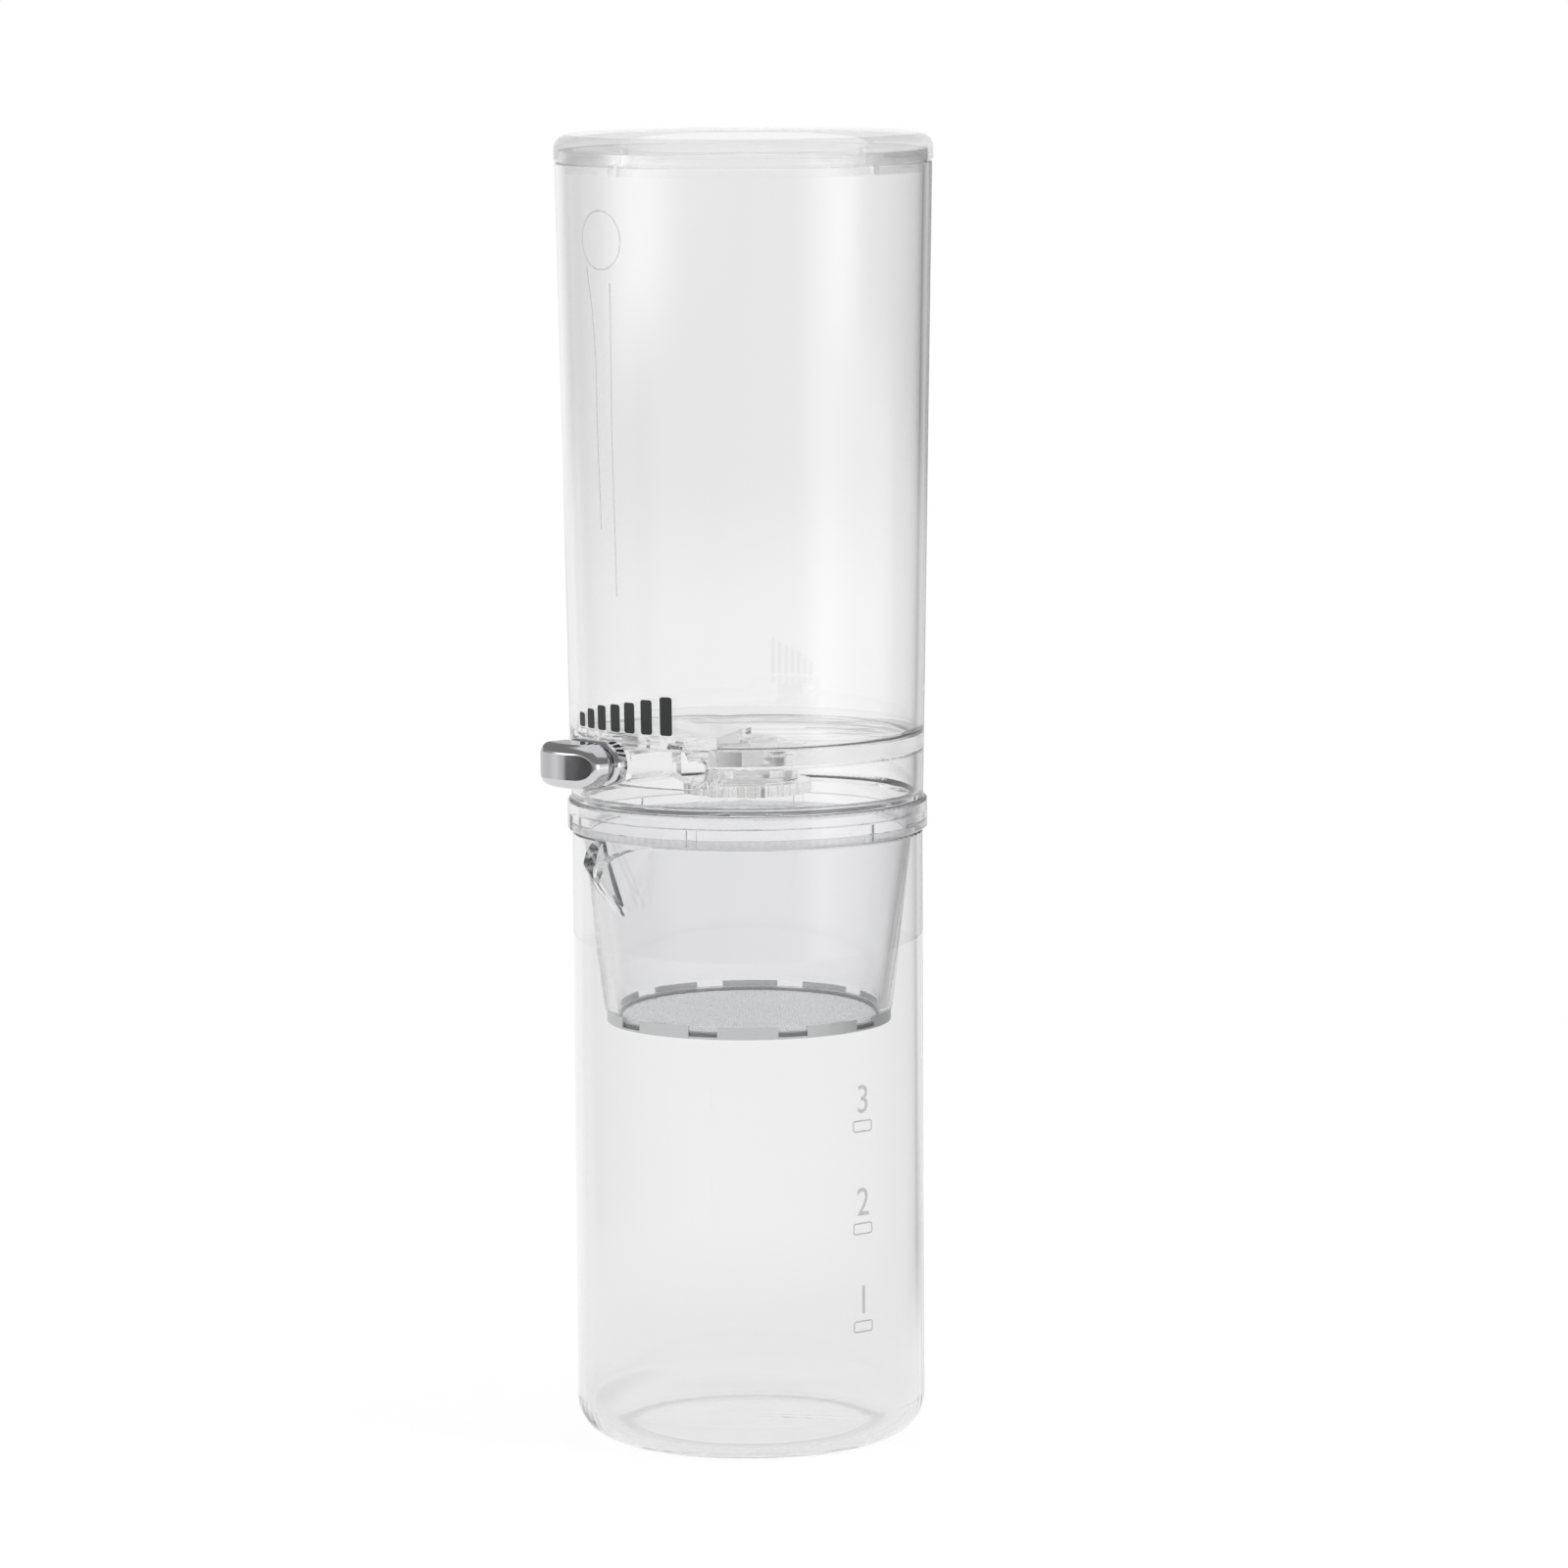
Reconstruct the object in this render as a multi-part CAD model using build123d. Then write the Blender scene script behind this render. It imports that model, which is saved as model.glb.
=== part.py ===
from build123d import *

import os
from math import cos, radians, sin

# Cold-drip coffee tower, stacked on one vertical axis: a borosilicate carafe with a pulled
# spout, a clear brew basket that hangs in its mouth, a clear water tank with a metering valve
# under its floor, and a flat lid. A lever under the tank floor turns the valve spindle and
# reaches out through an arc slot to a polished thumb knob.
#
# Millimetres. Origin: centre of the ring that the carafe stands on. +Z up, front towards -Y.
# Azimuths are degrees about +Z from +X, so the front is -90.

# --- Carafe (glass) ---
CARAFE_R = 45.0
CARAFE_WALL = 2.1
CARAFE_HEIGHT = 157.7
CARAFE_CORNER_R = 10.0
CARAFE_BASE = 2.4
FOOT_RING_WIDTH = 4.0
PUNT_DEPTH = 1.5
RIM_ROUND = 0.7

SPOUT_AZIMUTH = -136.0
SPOUT_CORE_INSET = 6.0
SPOUT_DIP = 8.8
SPOUT_DIP_HALF_WIDTH = 10.5
SPOUT_NOSE_R = 2.7
# Depth below the rim, reach beyond the carafe's wall and half width at the root of each section of
# the lip.
SPOUT_SECTIONS = ((19.8, -1.2, 3.2), (12.6, 5.8, 6.2), (5.0, 11.2, 9.6), (-1.0, 12.6, 11.4))

# --- Brew basket (clear plastic) ---
COLLAR_OVERHANG = 1.2
COLLAR_HEIGHT = 7.8
COLLAR_LIFT = 0.5
COLLAR_WALL = 2.8
COLLAR_TOP_EDGE_R = 0.8
COLLAR_FOOT_EDGE_R = 0.5
BASKET_PLAY = 0.5
BASKET_DEPTH = 48.0
BASKET_TAPER = 5.3
BASKET_TOP_WALL = 1.5
BASKET_FOOT_WALL = 3.1
GASKET_LAP = 0.2
GASKET_HEIGHT = 2.2
NOTCH_COUNT = 6
NOTCH_FIRST = -108.0
NOTCH_WIDTH = 2.7
NOTCH_HEIGHT = 4.4
NOTCH_DEPTH = 0.8

# --- Filter (snaps over the foot of the basket) ---
FOOT_STEP = 1.2
FOOT_HEIGHT = 1.4
FILTER_WALL = 0.6
FILTER_PLAY = 0.2
FILTER_LIP = 0.6
FILTER_FLOOR = 0.6
FILTER_EDGE_R = 0.35
SCREEN_INSET = 1.0
SCREEN_THICK = 0.35
SCREEN_RIM_GAP = 0.15
SCREEN_RIM_WIDTH = 1.6
SCREEN_RIM_THICK = 0.9
SEAL_THICK = 0.5
TAB_COUNT = 10
TAB_GAP = 7.6
TAB_PHASE = -0.5

# --- Water tank (clear plastic) ---
SPIGOT_DEPTH = 3.2
SPIGOT_WALL = 2.2
SPIGOT_PLAY = 0.3
TANK_SET_IN = 1.0
TANK_TAPER = 2.9
TANK_LEDGE = 162.6
TANK_LEDGE_EDGE_R = 0.4
TANK_WALL = 2.35
TANK_RIM_WALL = 1.2
TANK_RIM_HEIGHT = 3.1
FLOOR_UNDER = 12.6
FLOOR_EDGE_THICK = 3.8
FLOOR_DISH = 1.8
DISH_FLAT_R = 9.0
FLOOR_CORNER_R = 2.5
SKIRT_CORNER_R = 1.0

BOSS_WALL = 3.0
BOSS_DROP = 6.6
BOSS_ROOT_R = 1.2
SEAT_WALL = 2.4
SEAT_DEPTH = 5.1
SEAT_LIP_WIDTH = 1.1
SEAT_LIP_THICK = 0.8
SEAT_LIP_EDGE_R = 0.4
SEAT_PORT_WIDTH = 1.6

SLOT_UNDER = 6.7
SLOT_HEIGHT = 9.7
FRAME_WIDTH = 3.5
FRAME_PROUD = 0.6
HOOD_GAP = 1.5
HOOD_WALL = 2.0
HOOD_ROOF_GAP = 0.4
HOOD_CORNER_R = 1.5

# --- Valve ---
SPINDLE_R = 4.05
BORE_PLAY = 0.05
SPINDLE_TAIL_R = 3.0
DRIP_BORE_R = 1.2
METER_GROOVE_CORE_R = 3.5
METER_GROOVE_OFFSET = 0.5
METER_GROOVE_HEIGHT = 1.2
O_RING_CORD_R = 0.45
O_RING_PITCH = 1.7
CAP_LAP = 1.6
CAP_HEIGHT = 2.3
CAP_DOME_R = 1.85
CAP_STEP = 0.3

DISC_SPRING_INSET = 0.9
DISC_SPRING_THICK = 0.3
DISC_SPRING_HEIGHT = 1.2

NOZZLE_INSET = 4.0
NOZZLE_THICK = 2.6
NOZZLE_EDGE_R = 1.2
NOZZLE_TIP_R = 2.6
NOZZLE_TIP_TAPER = 1.0
NOZZLE_TIP_DROP = 2.2
NOZZLE_SOCKET = 1.8

# --- Lever and knob ---
HUB_R = 16.5
HUB_THICK = 3.0
HUB_COLLAR_WALL = 3.1
HUB_COLLAR_HEIGHT = 4.6
HUB_PLAY = 0.4
RIDGE_COUNT = 36
RIDGE_R = 0.55

LEVER_REST = -139.0
LEVER_FIRST = -156.4
LEVER_LAST = -110.0
ARM_WIDTH = 7.0
ARM_PLAY = 0.6
ARM_SIDE_PLAY = 1.9
ARM_WALL = 1.7
ARM_ROOT_GAP = 0.8
ARM_ROOT_CHAMFER = 2.0
ARM_STEP_GAP = 4.0
ARM_PROUD = 4.0
ARM_EDGE_R = 1.6

KNOB_GAP = 0.3
KNOB_DEPTH = 14.8
KNOB_WIDTH = 22.0
KNOB_HEIGHT = 11.2
KNOB_RISE = 1.4
KNOB_FLANGE = 3.7
KNOB_GROOVE = 1.1
KNOB_GROOVE_DEPTH = 0.6
KNOB_CROWN = 4.0
KNOB_EDGE_R = 1.3
KNOB_FACE_R = 2.4
STUD_R = 2.0
STUD_LENGTH = 13.0
STUD_IN_KNOB = 7.5
STUD_PLAY = 0.03

# --- Lid (clear plastic) ---
LID_PROUD = 0.3
LID_PLATE = 3.9
LID_SHOULDER_R = 3.6
LID_SKIRT_GAP = 0.3
LID_SKIRT_EDGE_R = 0.4
LID_PLAY = 0.2
PLUG_PLAY = 0.3
PLUG_WALL = 1.8
PLUG_DEPTH = 5.6
VENT_COUNT = 4
VENT_FIRST = 45.0
VENT_WIDTH = 3.0
VENT_HEIGHT = 4.4

# How far a cutter runs on past the face that it opens.
MARGIN = 1.0

# --- Radii that follow, outwards from the glass to the lid ---
CARAFE_BORE_R = CARAFE_R - CARAFE_WALL
PUNT_R = CARAFE_R - CARAFE_CORNER_R - FOOT_RING_WIDTH
SPOUT_CORE_R = CARAFE_R - SPOUT_CORE_INSET
GASKET_R_IN = CARAFE_BORE_R - GASKET_LAP
COLLAR_R = CARAFE_R + COLLAR_OVERHANG
SOCKET_R = COLLAR_R - COLLAR_WALL

BASKET_TOP_R = CARAFE_BORE_R - BASKET_PLAY
BASKET_BORE_TOP_R = BASKET_TOP_R - BASKET_TOP_WALL
BASKET_BOTTOM_R = BASKET_TOP_R - BASKET_TAPER
BASKET_BORE_BOTTOM_R = BASKET_BOTTOM_R - BASKET_FOOT_WALL
FOOT_R = BASKET_BOTTOM_R - FOOT_STEP
FILTER_WALL_R = FOOT_R + FILTER_PLAY
FILTER_R = FILTER_WALL_R + FILTER_WALL
FILTER_BORE_R = BASKET_BORE_BOTTOM_R - FILTER_LIP
SCREEN_R = FOOT_R - SCREEN_INSET

SPIGOT_R = SOCKET_R - SPIGOT_PLAY
TANK_BOTTOM_R = COLLAR_R - TANK_SET_IN
TANK_TOP_R = TANK_BOTTOM_R + TANK_TAPER
TANK_BORE_TOP_R = TANK_TOP_R - TANK_WALL
TANK_RIM_R = TANK_BORE_TOP_R + TANK_RIM_WALL
SKIRT_BORE_R = TANK_BOTTOM_R - TANK_WALL
LID_R = TANK_TOP_R + LID_PROUD

SPINDLE_BORE_R = SPINDLE_R + BORE_PLAY
SEAT_R = SPINDLE_BORE_R + SEAT_WALL
SEAT_LIP_R = SEAT_R + SEAT_LIP_WIDTH
CAP_R = SPINDLE_BORE_R + CAP_LAP
BOSS_R = SEAT_R + BOSS_WALL
DISC_SPRING_R = BOSS_R - DISC_SPRING_INSET
NOZZLE_R = HUB_R - NOZZLE_INSET
HOOD_INNER_R = HUB_R + HOOD_GAP
ARM_STEP_R = HUB_R + ARM_STEP_GAP
ARM_REACH = TANK_BOTTOM_R + ARM_PROUD
KNOB_BACK = ARM_REACH + KNOB_GAP

# --- Levels that follow, upwards from the table ---
COLLAR_BOTTOM = CARAFE_HEIGHT + COLLAR_LIFT
COLLAR_TOP = COLLAR_BOTTOM + COLLAR_HEIGHT
BASKET_FOOT = COLLAR_BOTTOM - BASKET_DEPTH
SOCKET_FLOOR = COLLAR_TOP - SPIGOT_DEPTH - SPIGOT_PLAY

SEAL_BOTTOM = BASKET_FOOT - SEAL_THICK
SCREEN_RIM_BOTTOM = SEAL_BOTTOM - SCREEN_RIM_THICK
FILTER_BOTTOM = SCREEN_RIM_BOTTOM - FILTER_FLOOR

TANK_FOOT = COLLAR_TOP
TANK_LEDGE_Z = TANK_FOOT + TANK_LEDGE
TANK_RIM_Z = TANK_LEDGE_Z + TANK_RIM_HEIGHT
FLOOR_Z = TANK_FOOT + FLOOR_UNDER
FLOOR_TOP = FLOOR_Z + FLOOR_EDGE_THICK
DISH_Z = FLOOR_TOP - FLOOR_DISH
BOSS_END = FLOOR_Z - BOSS_DROP
SEAT_BOTTOM = DISH_Z - SEAT_DEPTH
METER_Z = SEAT_BOTTOM + SEAT_DEPTH / 3

SLOT_Z = TANK_FOOT + SLOT_UNDER + SLOT_HEIGHT / 2
SLOT_TOP = SLOT_Z + SLOT_HEIGHT / 2
HOOD_ROOF = SLOT_TOP + HOOD_ROOF_GAP
HOOD_TOP = SLOT_TOP + FRAME_WIDTH

HUB_TOP = BOSS_END - DISC_SPRING_HEIGHT - 2 * BORE_PLAY
HUB_BOTTOM = HUB_TOP - HUB_THICK
NOZZLE_BOTTOM = HUB_BOTTOM - NOZZLE_THICK
SPINDLE_TOP = DISH_Z + SEAT_LIP_THICK + CAP_STEP
ARM_BOTTOM = SLOT_Z - SLOT_HEIGHT / 2 + ARM_PLAY
ARM_TOP = SLOT_TOP - ARM_PLAY
KNOB_Z = SLOT_Z + KNOB_RISE

# Half width of the room that the arm has on each side of its own line.
ZONE_HALF = ARM_WIDTH / 2 + ARM_SIDE_PLAY


def tank_outer_r(height):
    """Outer radius of the tapered tank wall at a height."""
    share = (height - TANK_FOOT) / TANK_LEDGE
    return TANK_BOTTOM_R + (TANK_TOP_R - TANK_BOTTOM_R) * share


def section(edges, rounds=()):
    """Half section in the radius-height plane, with the named corners rounded."""
    face = make_face(edges)
    for corner, radius in rounds:
        face = fillet(face.vertices().sort_by_distance(corner)[0], radius)
    return Plane.XZ * face


def turned(points, rounds=()):
    """Solid turned about Z from a closed outline of (radius, height) points."""
    return revolve(section(Polyline(*points, close=True), rounds), Axis.Z)


def tube(r_in, r_out, low, high):
    """Plain ring about Z."""
    return turned([(r_in, low), (r_out, low), (r_out, high), (r_in, high)])


def shallow_dome(radius, rise, low):
    """Shallow arc from its crown on the axis: at half its radius it has three quarters of its rise."""
    return ThreePointArc((0, low + rise), (radius / 2, low + rise * 3 / 4), (radius, low))


def block(azimuth, r_in, r_out, half_width, low, high):
    """Radial block at an azimuth, with flat sides parallel to the radius."""
    size = Box(r_out - r_in, 2 * half_width, high - low)
    return Rot(0, 0, azimuth) * Pos((r_in + r_out) / 2, 0, (low + high) / 2) * size


def radial_plane(azimuth, radius, height):
    """Plane whose normal points outwards along a radius, with its y axis upwards."""
    angle = radians(azimuth)
    outward = (cos(angle), sin(angle), 0)
    sideways = (-sin(angle), cos(angle), 0)
    origin = (radius * cos(angle), radius * sin(angle), height)
    return Plane(origin=origin, x_dir=sideways, z_dir=outward)


# --- Carafe ---------------------------------------------------------------------------------

def carafe_cavity():
    """Room inside the carafe, carried on above the rim."""
    floor = CARAFE_BASE
    top = CARAFE_HEIGHT + 2 * MARGIN
    dome = shallow_dome(PUNT_R, PUNT_DEPTH, floor)
    wall = Polyline((PUNT_R, floor), (CARAFE_BORE_R, floor), (CARAFE_BORE_R, top), (0, top),
                    (0, floor + PUNT_DEPTH))
    corner = CARAFE_CORNER_R - CARAFE_WALL
    return revolve(section([dome, wall], [((CARAFE_BORE_R, floor), corner)]), Axis.Z)


def carafe_cup():
    """Straight glass cup with a pushed-up base and a fire-polished rim."""
    dome = shallow_dome(PUNT_R, PUNT_DEPTH, 0)
    wall = Polyline((PUNT_R, 0), (CARAFE_R, 0), (CARAFE_R, CARAFE_HEIGHT), (0, CARAFE_HEIGHT),
                    (0, PUNT_DEPTH))
    rounds = [((CARAFE_R, 0), CARAFE_CORNER_R), ((CARAFE_R, CARAFE_HEIGHT), RIM_ROUND)]
    body = revolve(section([dome, wall], rounds), Axis.Z) - carafe_cavity()
    mouth = body.edges().filter_by(GeomType.CIRCLE).filter_by(
        lambda edge: abs(edge.radius - CARAFE_BORE_R) < 0.01 and edge.center().Z > CARAFE_HEIGHT / 2)
    return fillet(mouth, RIM_ROUND)


def spout_bulge(inset):
    """Loft of the pulled lip, drawn in by an inset for its inner face."""
    sections = []
    for depth, reach, half_width in SPOUT_SECTIONS:
        nose = Pos(SPOUT_CORE_INSET + reach - SPOUT_NOSE_R, 0) * Circle(SPOUT_NOSE_R - inset)
        outline = make_hull([*Circle(half_width - inset).edges(), *nose.edges()])
        sections.append(Pos(SPOUT_CORE_R, 0, CARAFE_HEIGHT - depth) * outline)
    return Rot(0, 0, SPOUT_AZIMUTH) * loft(sections)


def spout_dip():
    """Cutter that lets the rim fall in a smooth curve towards the spout."""
    half = SPOUT_DIP_HALF_WIDTH
    curve = Spline((-half, 0), (0, -SPOUT_DIP), (half, 0), tangents=[(1, 0), (1, 0)])
    above = Polyline((half, 0), (2 * half, 0), (2 * half, 3 * MARGIN), (-2 * half, 3 * MARGIN),
                     (-2 * half, 0), (-half, 0))
    start = radial_plane(SPOUT_AZIMUTH, SPOUT_CORE_R, CARAFE_HEIGHT)
    return extrude(start * make_face([curve, above]), CARAFE_R)


def carafe_glass():
    """Glass carafe with its spout."""
    dip = spout_dip()
    lip = spout_bulge(0) - carafe_cavity() - dip
    return (carafe_cup() - dip) + lip - spout_bulge(CARAFE_WALL)


# --- Brew basket and its filter -------------------------------------------------------------

def brew_basket():
    """Conical basket with the collar that sits on the carafe and takes the tank's spigot."""
    gasket_top = CARAFE_HEIGHT + GASKET_HEIGHT
    outline = [
        (BASKET_BORE_BOTTOM_R, BASKET_FOOT), (FOOT_R, BASKET_FOOT), (FOOT_R, BASKET_FOOT + FOOT_HEIGHT),
        (BASKET_BOTTOM_R, BASKET_FOOT + FOOT_HEIGHT), (BASKET_TOP_R, COLLAR_BOTTOM),
        (GASKET_R_IN, COLLAR_BOTTOM), (GASKET_R_IN, gasket_top), (CARAFE_R, gasket_top),
        (CARAFE_R, COLLAR_BOTTOM), (COLLAR_R, COLLAR_BOTTOM), (COLLAR_R, COLLAR_TOP),
        (SOCKET_R, COLLAR_TOP), (SOCKET_R, SOCKET_FLOOR), (BASKET_BORE_TOP_R, SOCKET_FLOOR),
        (BASKET_BORE_TOP_R, COLLAR_BOTTOM),
    ]
    rounds = [((COLLAR_R, COLLAR_TOP), COLLAR_TOP_EDGE_R), ((COLLAR_R, COLLAR_BOTTOM), COLLAR_FOOT_EDGE_R)]
    basket = turned(outline, rounds)
    for index in range(NOTCH_COUNT):
        azimuth = NOTCH_FIRST + index * 360 / NOTCH_COUNT
        basket -= block(azimuth, COLLAR_R - NOTCH_DEPTH, COLLAR_R + MARGIN, NOTCH_WIDTH / 2,
                        COLLAR_BOTTOM - MARGIN, COLLAR_BOTTOM + NOTCH_HEIGHT)
    return basket


def basket_gasket():
    """Silicone ring between the basket's collar and the glass rim."""
    return tube(GASKET_R_IN, CARAFE_R, CARAFE_HEIGHT, CARAFE_HEIGHT + GASKET_HEIGHT)


def filter_ring():
    """Steel ring that carries the screen, with spring tabs that grip the basket's foot."""
    top = BASKET_FOOT + FOOT_HEIGHT - FILTER_PLAY
    ring = turned([
        (FILTER_BORE_R, FILTER_BOTTOM), (FILTER_R, FILTER_BOTTOM), (FILTER_R, top), (FILTER_WALL_R, top),
        (FILTER_WALL_R, SCREEN_RIM_BOTTOM), (FILTER_BORE_R, SCREEN_RIM_BOTTOM),
    ], [((FILTER_R, FILTER_BOTTOM), FILTER_EDGE_R)])
    for index in range(TAB_COUNT):
        azimuth = TAB_PHASE + index * 360 / TAB_COUNT
        ring -= block(azimuth, FILTER_BORE_R, FILTER_R + MARGIN, TAB_GAP / 2,
                      SCREEN_RIM_BOTTOM, top + MARGIN)
    return ring


def filter_screen():
    """Woven steel screen, modelled as its thin disc."""
    low = SCREEN_RIM_BOTTOM + (SCREEN_RIM_THICK - SCREEN_THICK) / 2
    return Pos(0, 0, low + SCREEN_THICK / 2) * Cylinder(SCREEN_R, SCREEN_THICK)


def screen_rim():
    """Channel of sheet steel crimped round the edge of the screen."""
    low = SCREEN_RIM_BOTTOM
    high = low + SCREEN_RIM_THICK
    outer = FILTER_WALL_R - SCREEN_RIM_GAP
    inner = SCREEN_R - SCREEN_RIM_WIDTH
    groove_low = low + (SCREEN_RIM_THICK - SCREEN_THICK) / 2
    groove_high = groove_low + SCREEN_THICK
    return turned([
        (inner, low), (outer, low), (outer, high), (inner, high),
        (inner, groove_high), (SCREEN_R, groove_high), (SCREEN_R, groove_low), (inner, groove_low),
    ])


def filter_seal():
    """Flat silicone ring between the screen's rim and the basket's foot."""
    return tube(BASKET_BORE_BOTTOM_R, FOOT_R, SEAL_BOTTOM, BASKET_FOOT)


# --- Water tank -----------------------------------------------------------------------------

def lever_zone(half_width, r_in, low, high):
    """Room that the lever arm sweeps between its limits, from a radius out to the skirt."""
    face = Plane.XZ * Pos((r_in + SKIRT_BORE_R) / 2, (low + high) / 2) * Rectangle(
        SKIRT_BORE_R - r_in, high - low)
    zone = revolve(Rot(0, 0, LEVER_FIRST) * face, Axis.Z, LEVER_LAST - LEVER_FIRST)
    for azimuth in (LEVER_FIRST, LEVER_LAST):
        zone += block(azimuth, r_in, SKIRT_BORE_R, half_width, low, high)
    return zone


def arc_slot(half_height, r_in, r_out):
    """Arc slot with round ends, between two radii, that leaves the arm its side play."""
    end_shift = (ZONE_HALF - SLOT_HEIGHT / 2) / radians(TANK_BOTTOM_R)
    first = LEVER_FIRST - end_shift
    last = LEVER_LAST + end_shift
    face = Plane.XZ * Pos((r_in + r_out) / 2, SLOT_Z) * Rectangle(r_out - r_in, 2 * half_height)
    slot = revolve(Rot(0, 0, first) * face, Axis.Z, last - first)
    for azimuth in (first, last):
        slot += extrude(radial_plane(azimuth, r_in, SLOT_Z) * Circle(half_height), r_out - r_in)
    return slot


def tank_shell():
    """Tapered wall, dished floor, valve boss, skirt and spigot in one turned moulding."""
    bore_foot_r = tank_outer_r(FLOOR_TOP) - TANK_WALL
    spigot_bore = SPIGOT_R - SPIGOT_WALL
    outline = [
        (spigot_bore, TANK_FOOT - SPIGOT_DEPTH), (SPIGOT_R, TANK_FOOT - SPIGOT_DEPTH),
        (SPIGOT_R, TANK_FOOT), (TANK_BOTTOM_R, TANK_FOOT), (TANK_TOP_R, TANK_LEDGE_Z),
        (TANK_RIM_R, TANK_LEDGE_Z), (TANK_RIM_R, TANK_RIM_Z), (TANK_BORE_TOP_R, TANK_RIM_Z),
        (TANK_BORE_TOP_R, TANK_LEDGE_Z), (bore_foot_r, FLOOR_TOP), (DISH_FLAT_R, DISH_Z),
        (SEAT_R, DISH_Z), (SEAT_R, SEAT_BOTTOM), (SPINDLE_BORE_R, SEAT_BOTTOM),
        (SPINDLE_BORE_R, BOSS_END), (BOSS_R, BOSS_END), (BOSS_R, FLOOR_Z), (SKIRT_BORE_R, FLOOR_Z),
        (SKIRT_BORE_R, TANK_FOOT + SPIGOT_WALL), (spigot_bore, TANK_FOOT),
    ]
    return turned(outline, [
        ((bore_foot_r, FLOOR_TOP), FLOOR_CORNER_R), ((BOSS_R, FLOOR_Z), BOSS_ROOT_R),
        ((SKIRT_BORE_R, FLOOR_Z), SKIRT_CORNER_R), ((TANK_TOP_R, TANK_LEDGE_Z), TANK_LEDGE_EDGE_R),
    ])


def lever_hood():
    """Raised part of the floor over the lever, which keeps the water off the slot."""
    hood = lever_zone(ZONE_HALF + HOOD_WALL, HOOD_INNER_R - HOOD_WALL, FLOOR_Z, HOOD_TOP)
    upright = hood.edges().filter_by(Axis.Z).filter_by(
        lambda edge: Vector(edge.center().X, edge.center().Y).length < (HOOD_INNER_R + SKIRT_BORE_R) / 2)
    return fillet(upright, HOOD_CORNER_R)


def slot_frame():
    """Flat raised rim round the slot on the outside of the skirt."""
    band = arc_slot(SLOT_HEIGHT / 2 + FRAME_WIDTH, SKIRT_BORE_R + TANK_WALL / 2, COLLAR_R + MARGIN)
    low = SLOT_Z - SLOT_HEIGHT
    high = SLOT_Z + SLOT_HEIGHT
    skin = turned([
        (SKIRT_BORE_R, low), (tank_outer_r(low) + FRAME_PROUD, low),
        (tank_outer_r(high) + FRAME_PROUD, high), (SKIRT_BORE_R, high),
    ])
    return band & skin


def water_tank():
    """Water tank with the hood, the frame and the slot for the lever."""
    tank = tank_shell() + lever_hood() + slot_frame()
    tank -= lever_zone(ZONE_HALF, HOOD_INNER_R, FLOOR_Z - MARGIN, HOOD_ROOF)
    return tank - arc_slot(SLOT_HEIGHT / 2, SKIRT_BORE_R - 2 * MARGIN, COLLAR_R + 2 * MARGIN)


# --- Valve ----------------------------------------------------------------------------------

def valve_seat():
    """Silicone sleeve in the boss, with a lip on the floor and one side port."""
    lip_top = DISH_Z + SEAT_LIP_THICK
    seat = turned([
        (SPINDLE_BORE_R, SEAT_BOTTOM), (SEAT_R, SEAT_BOTTOM), (SEAT_R, DISH_Z), (SEAT_LIP_R, DISH_Z),
        (SEAT_LIP_R, lip_top), (SPINDLE_BORE_R, lip_top),
    ], [((SEAT_LIP_R, lip_top), SEAT_LIP_EDGE_R)])
    port_r = (SPINDLE_BORE_R + SEAT_R) / 2
    return seat - block(LEVER_REST, 0, port_r, SEAT_PORT_WIDTH / 2, METER_Z, lip_top + MARGIN)


def o_ring_levels():
    """Heights of the two rings on the spindle, spaced about the middle of the guide bore."""
    middle = (BOSS_END + SEAT_BOTTOM) / 2
    return middle - O_RING_PITCH / 2, middle + O_RING_PITCH / 2


def o_ring(height):
    """Round silicone cord in its groove on the spindle."""
    radius = SPINDLE_BORE_R - O_RING_CORD_R - BORE_PLAY / 2
    return Pos(0, 0, height) * Torus(radius, O_RING_CORD_R)


def valve_spindle():
    """Turned spindle: metering groove cut off centre, two ring grooves, drip bore and tail."""
    tail = NOZZLE_BOTTOM + NOZZLE_THICK - NOZZLE_SOCKET
    spindle = turned([
        (DRIP_BORE_R, tail), (SPINDLE_TAIL_R, tail), (SPINDLE_TAIL_R, HUB_TOP), (SPINDLE_R, HUB_TOP),
        (SPINDLE_R, SPINDLE_TOP), (0, SPINDLE_TOP), (0, SEAT_BOTTOM + SEAT_DEPTH / 2),
        (DRIP_BORE_R, SEAT_BOTTOM + SEAT_DEPTH / 2),
    ])
    root = SPINDLE_BORE_R - 2 * O_RING_CORD_R - BORE_PLAY
    for height in o_ring_levels():
        half = O_RING_CORD_R + BORE_PLAY
        spindle -= tube(root, SPINDLE_R + MARGIN, height - half, height + half)
    band = Pos(0, 0, METER_Z) * Cylinder(SPINDLE_R + MARGIN, METER_GROOVE_HEIGHT)
    core = Cylinder(METER_GROOVE_CORE_R, METER_GROOVE_HEIGHT + MARGIN)
    spindle -= band - Rot(0, 0, LEVER_REST) * Pos(METER_GROOVE_OFFSET, 0, METER_Z) * core
    side_port = radial_plane(LEVER_REST + 180, 0, METER_Z) * Circle(METER_GROOVE_HEIGHT / 2)
    return spindle - extrude(side_port, SPINDLE_R + MARGIN)


def spindle_cap():
    """Domed cap pressed on the top of the spindle, which keeps it from dropping out."""
    top = SPINDLE_TOP + CAP_HEIGHT
    return turned([(0, SPINDLE_TOP), (CAP_R, SPINDLE_TOP), (CAP_R, top), (0, top)],
                  [((CAP_R, top), CAP_DOME_R)])


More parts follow.
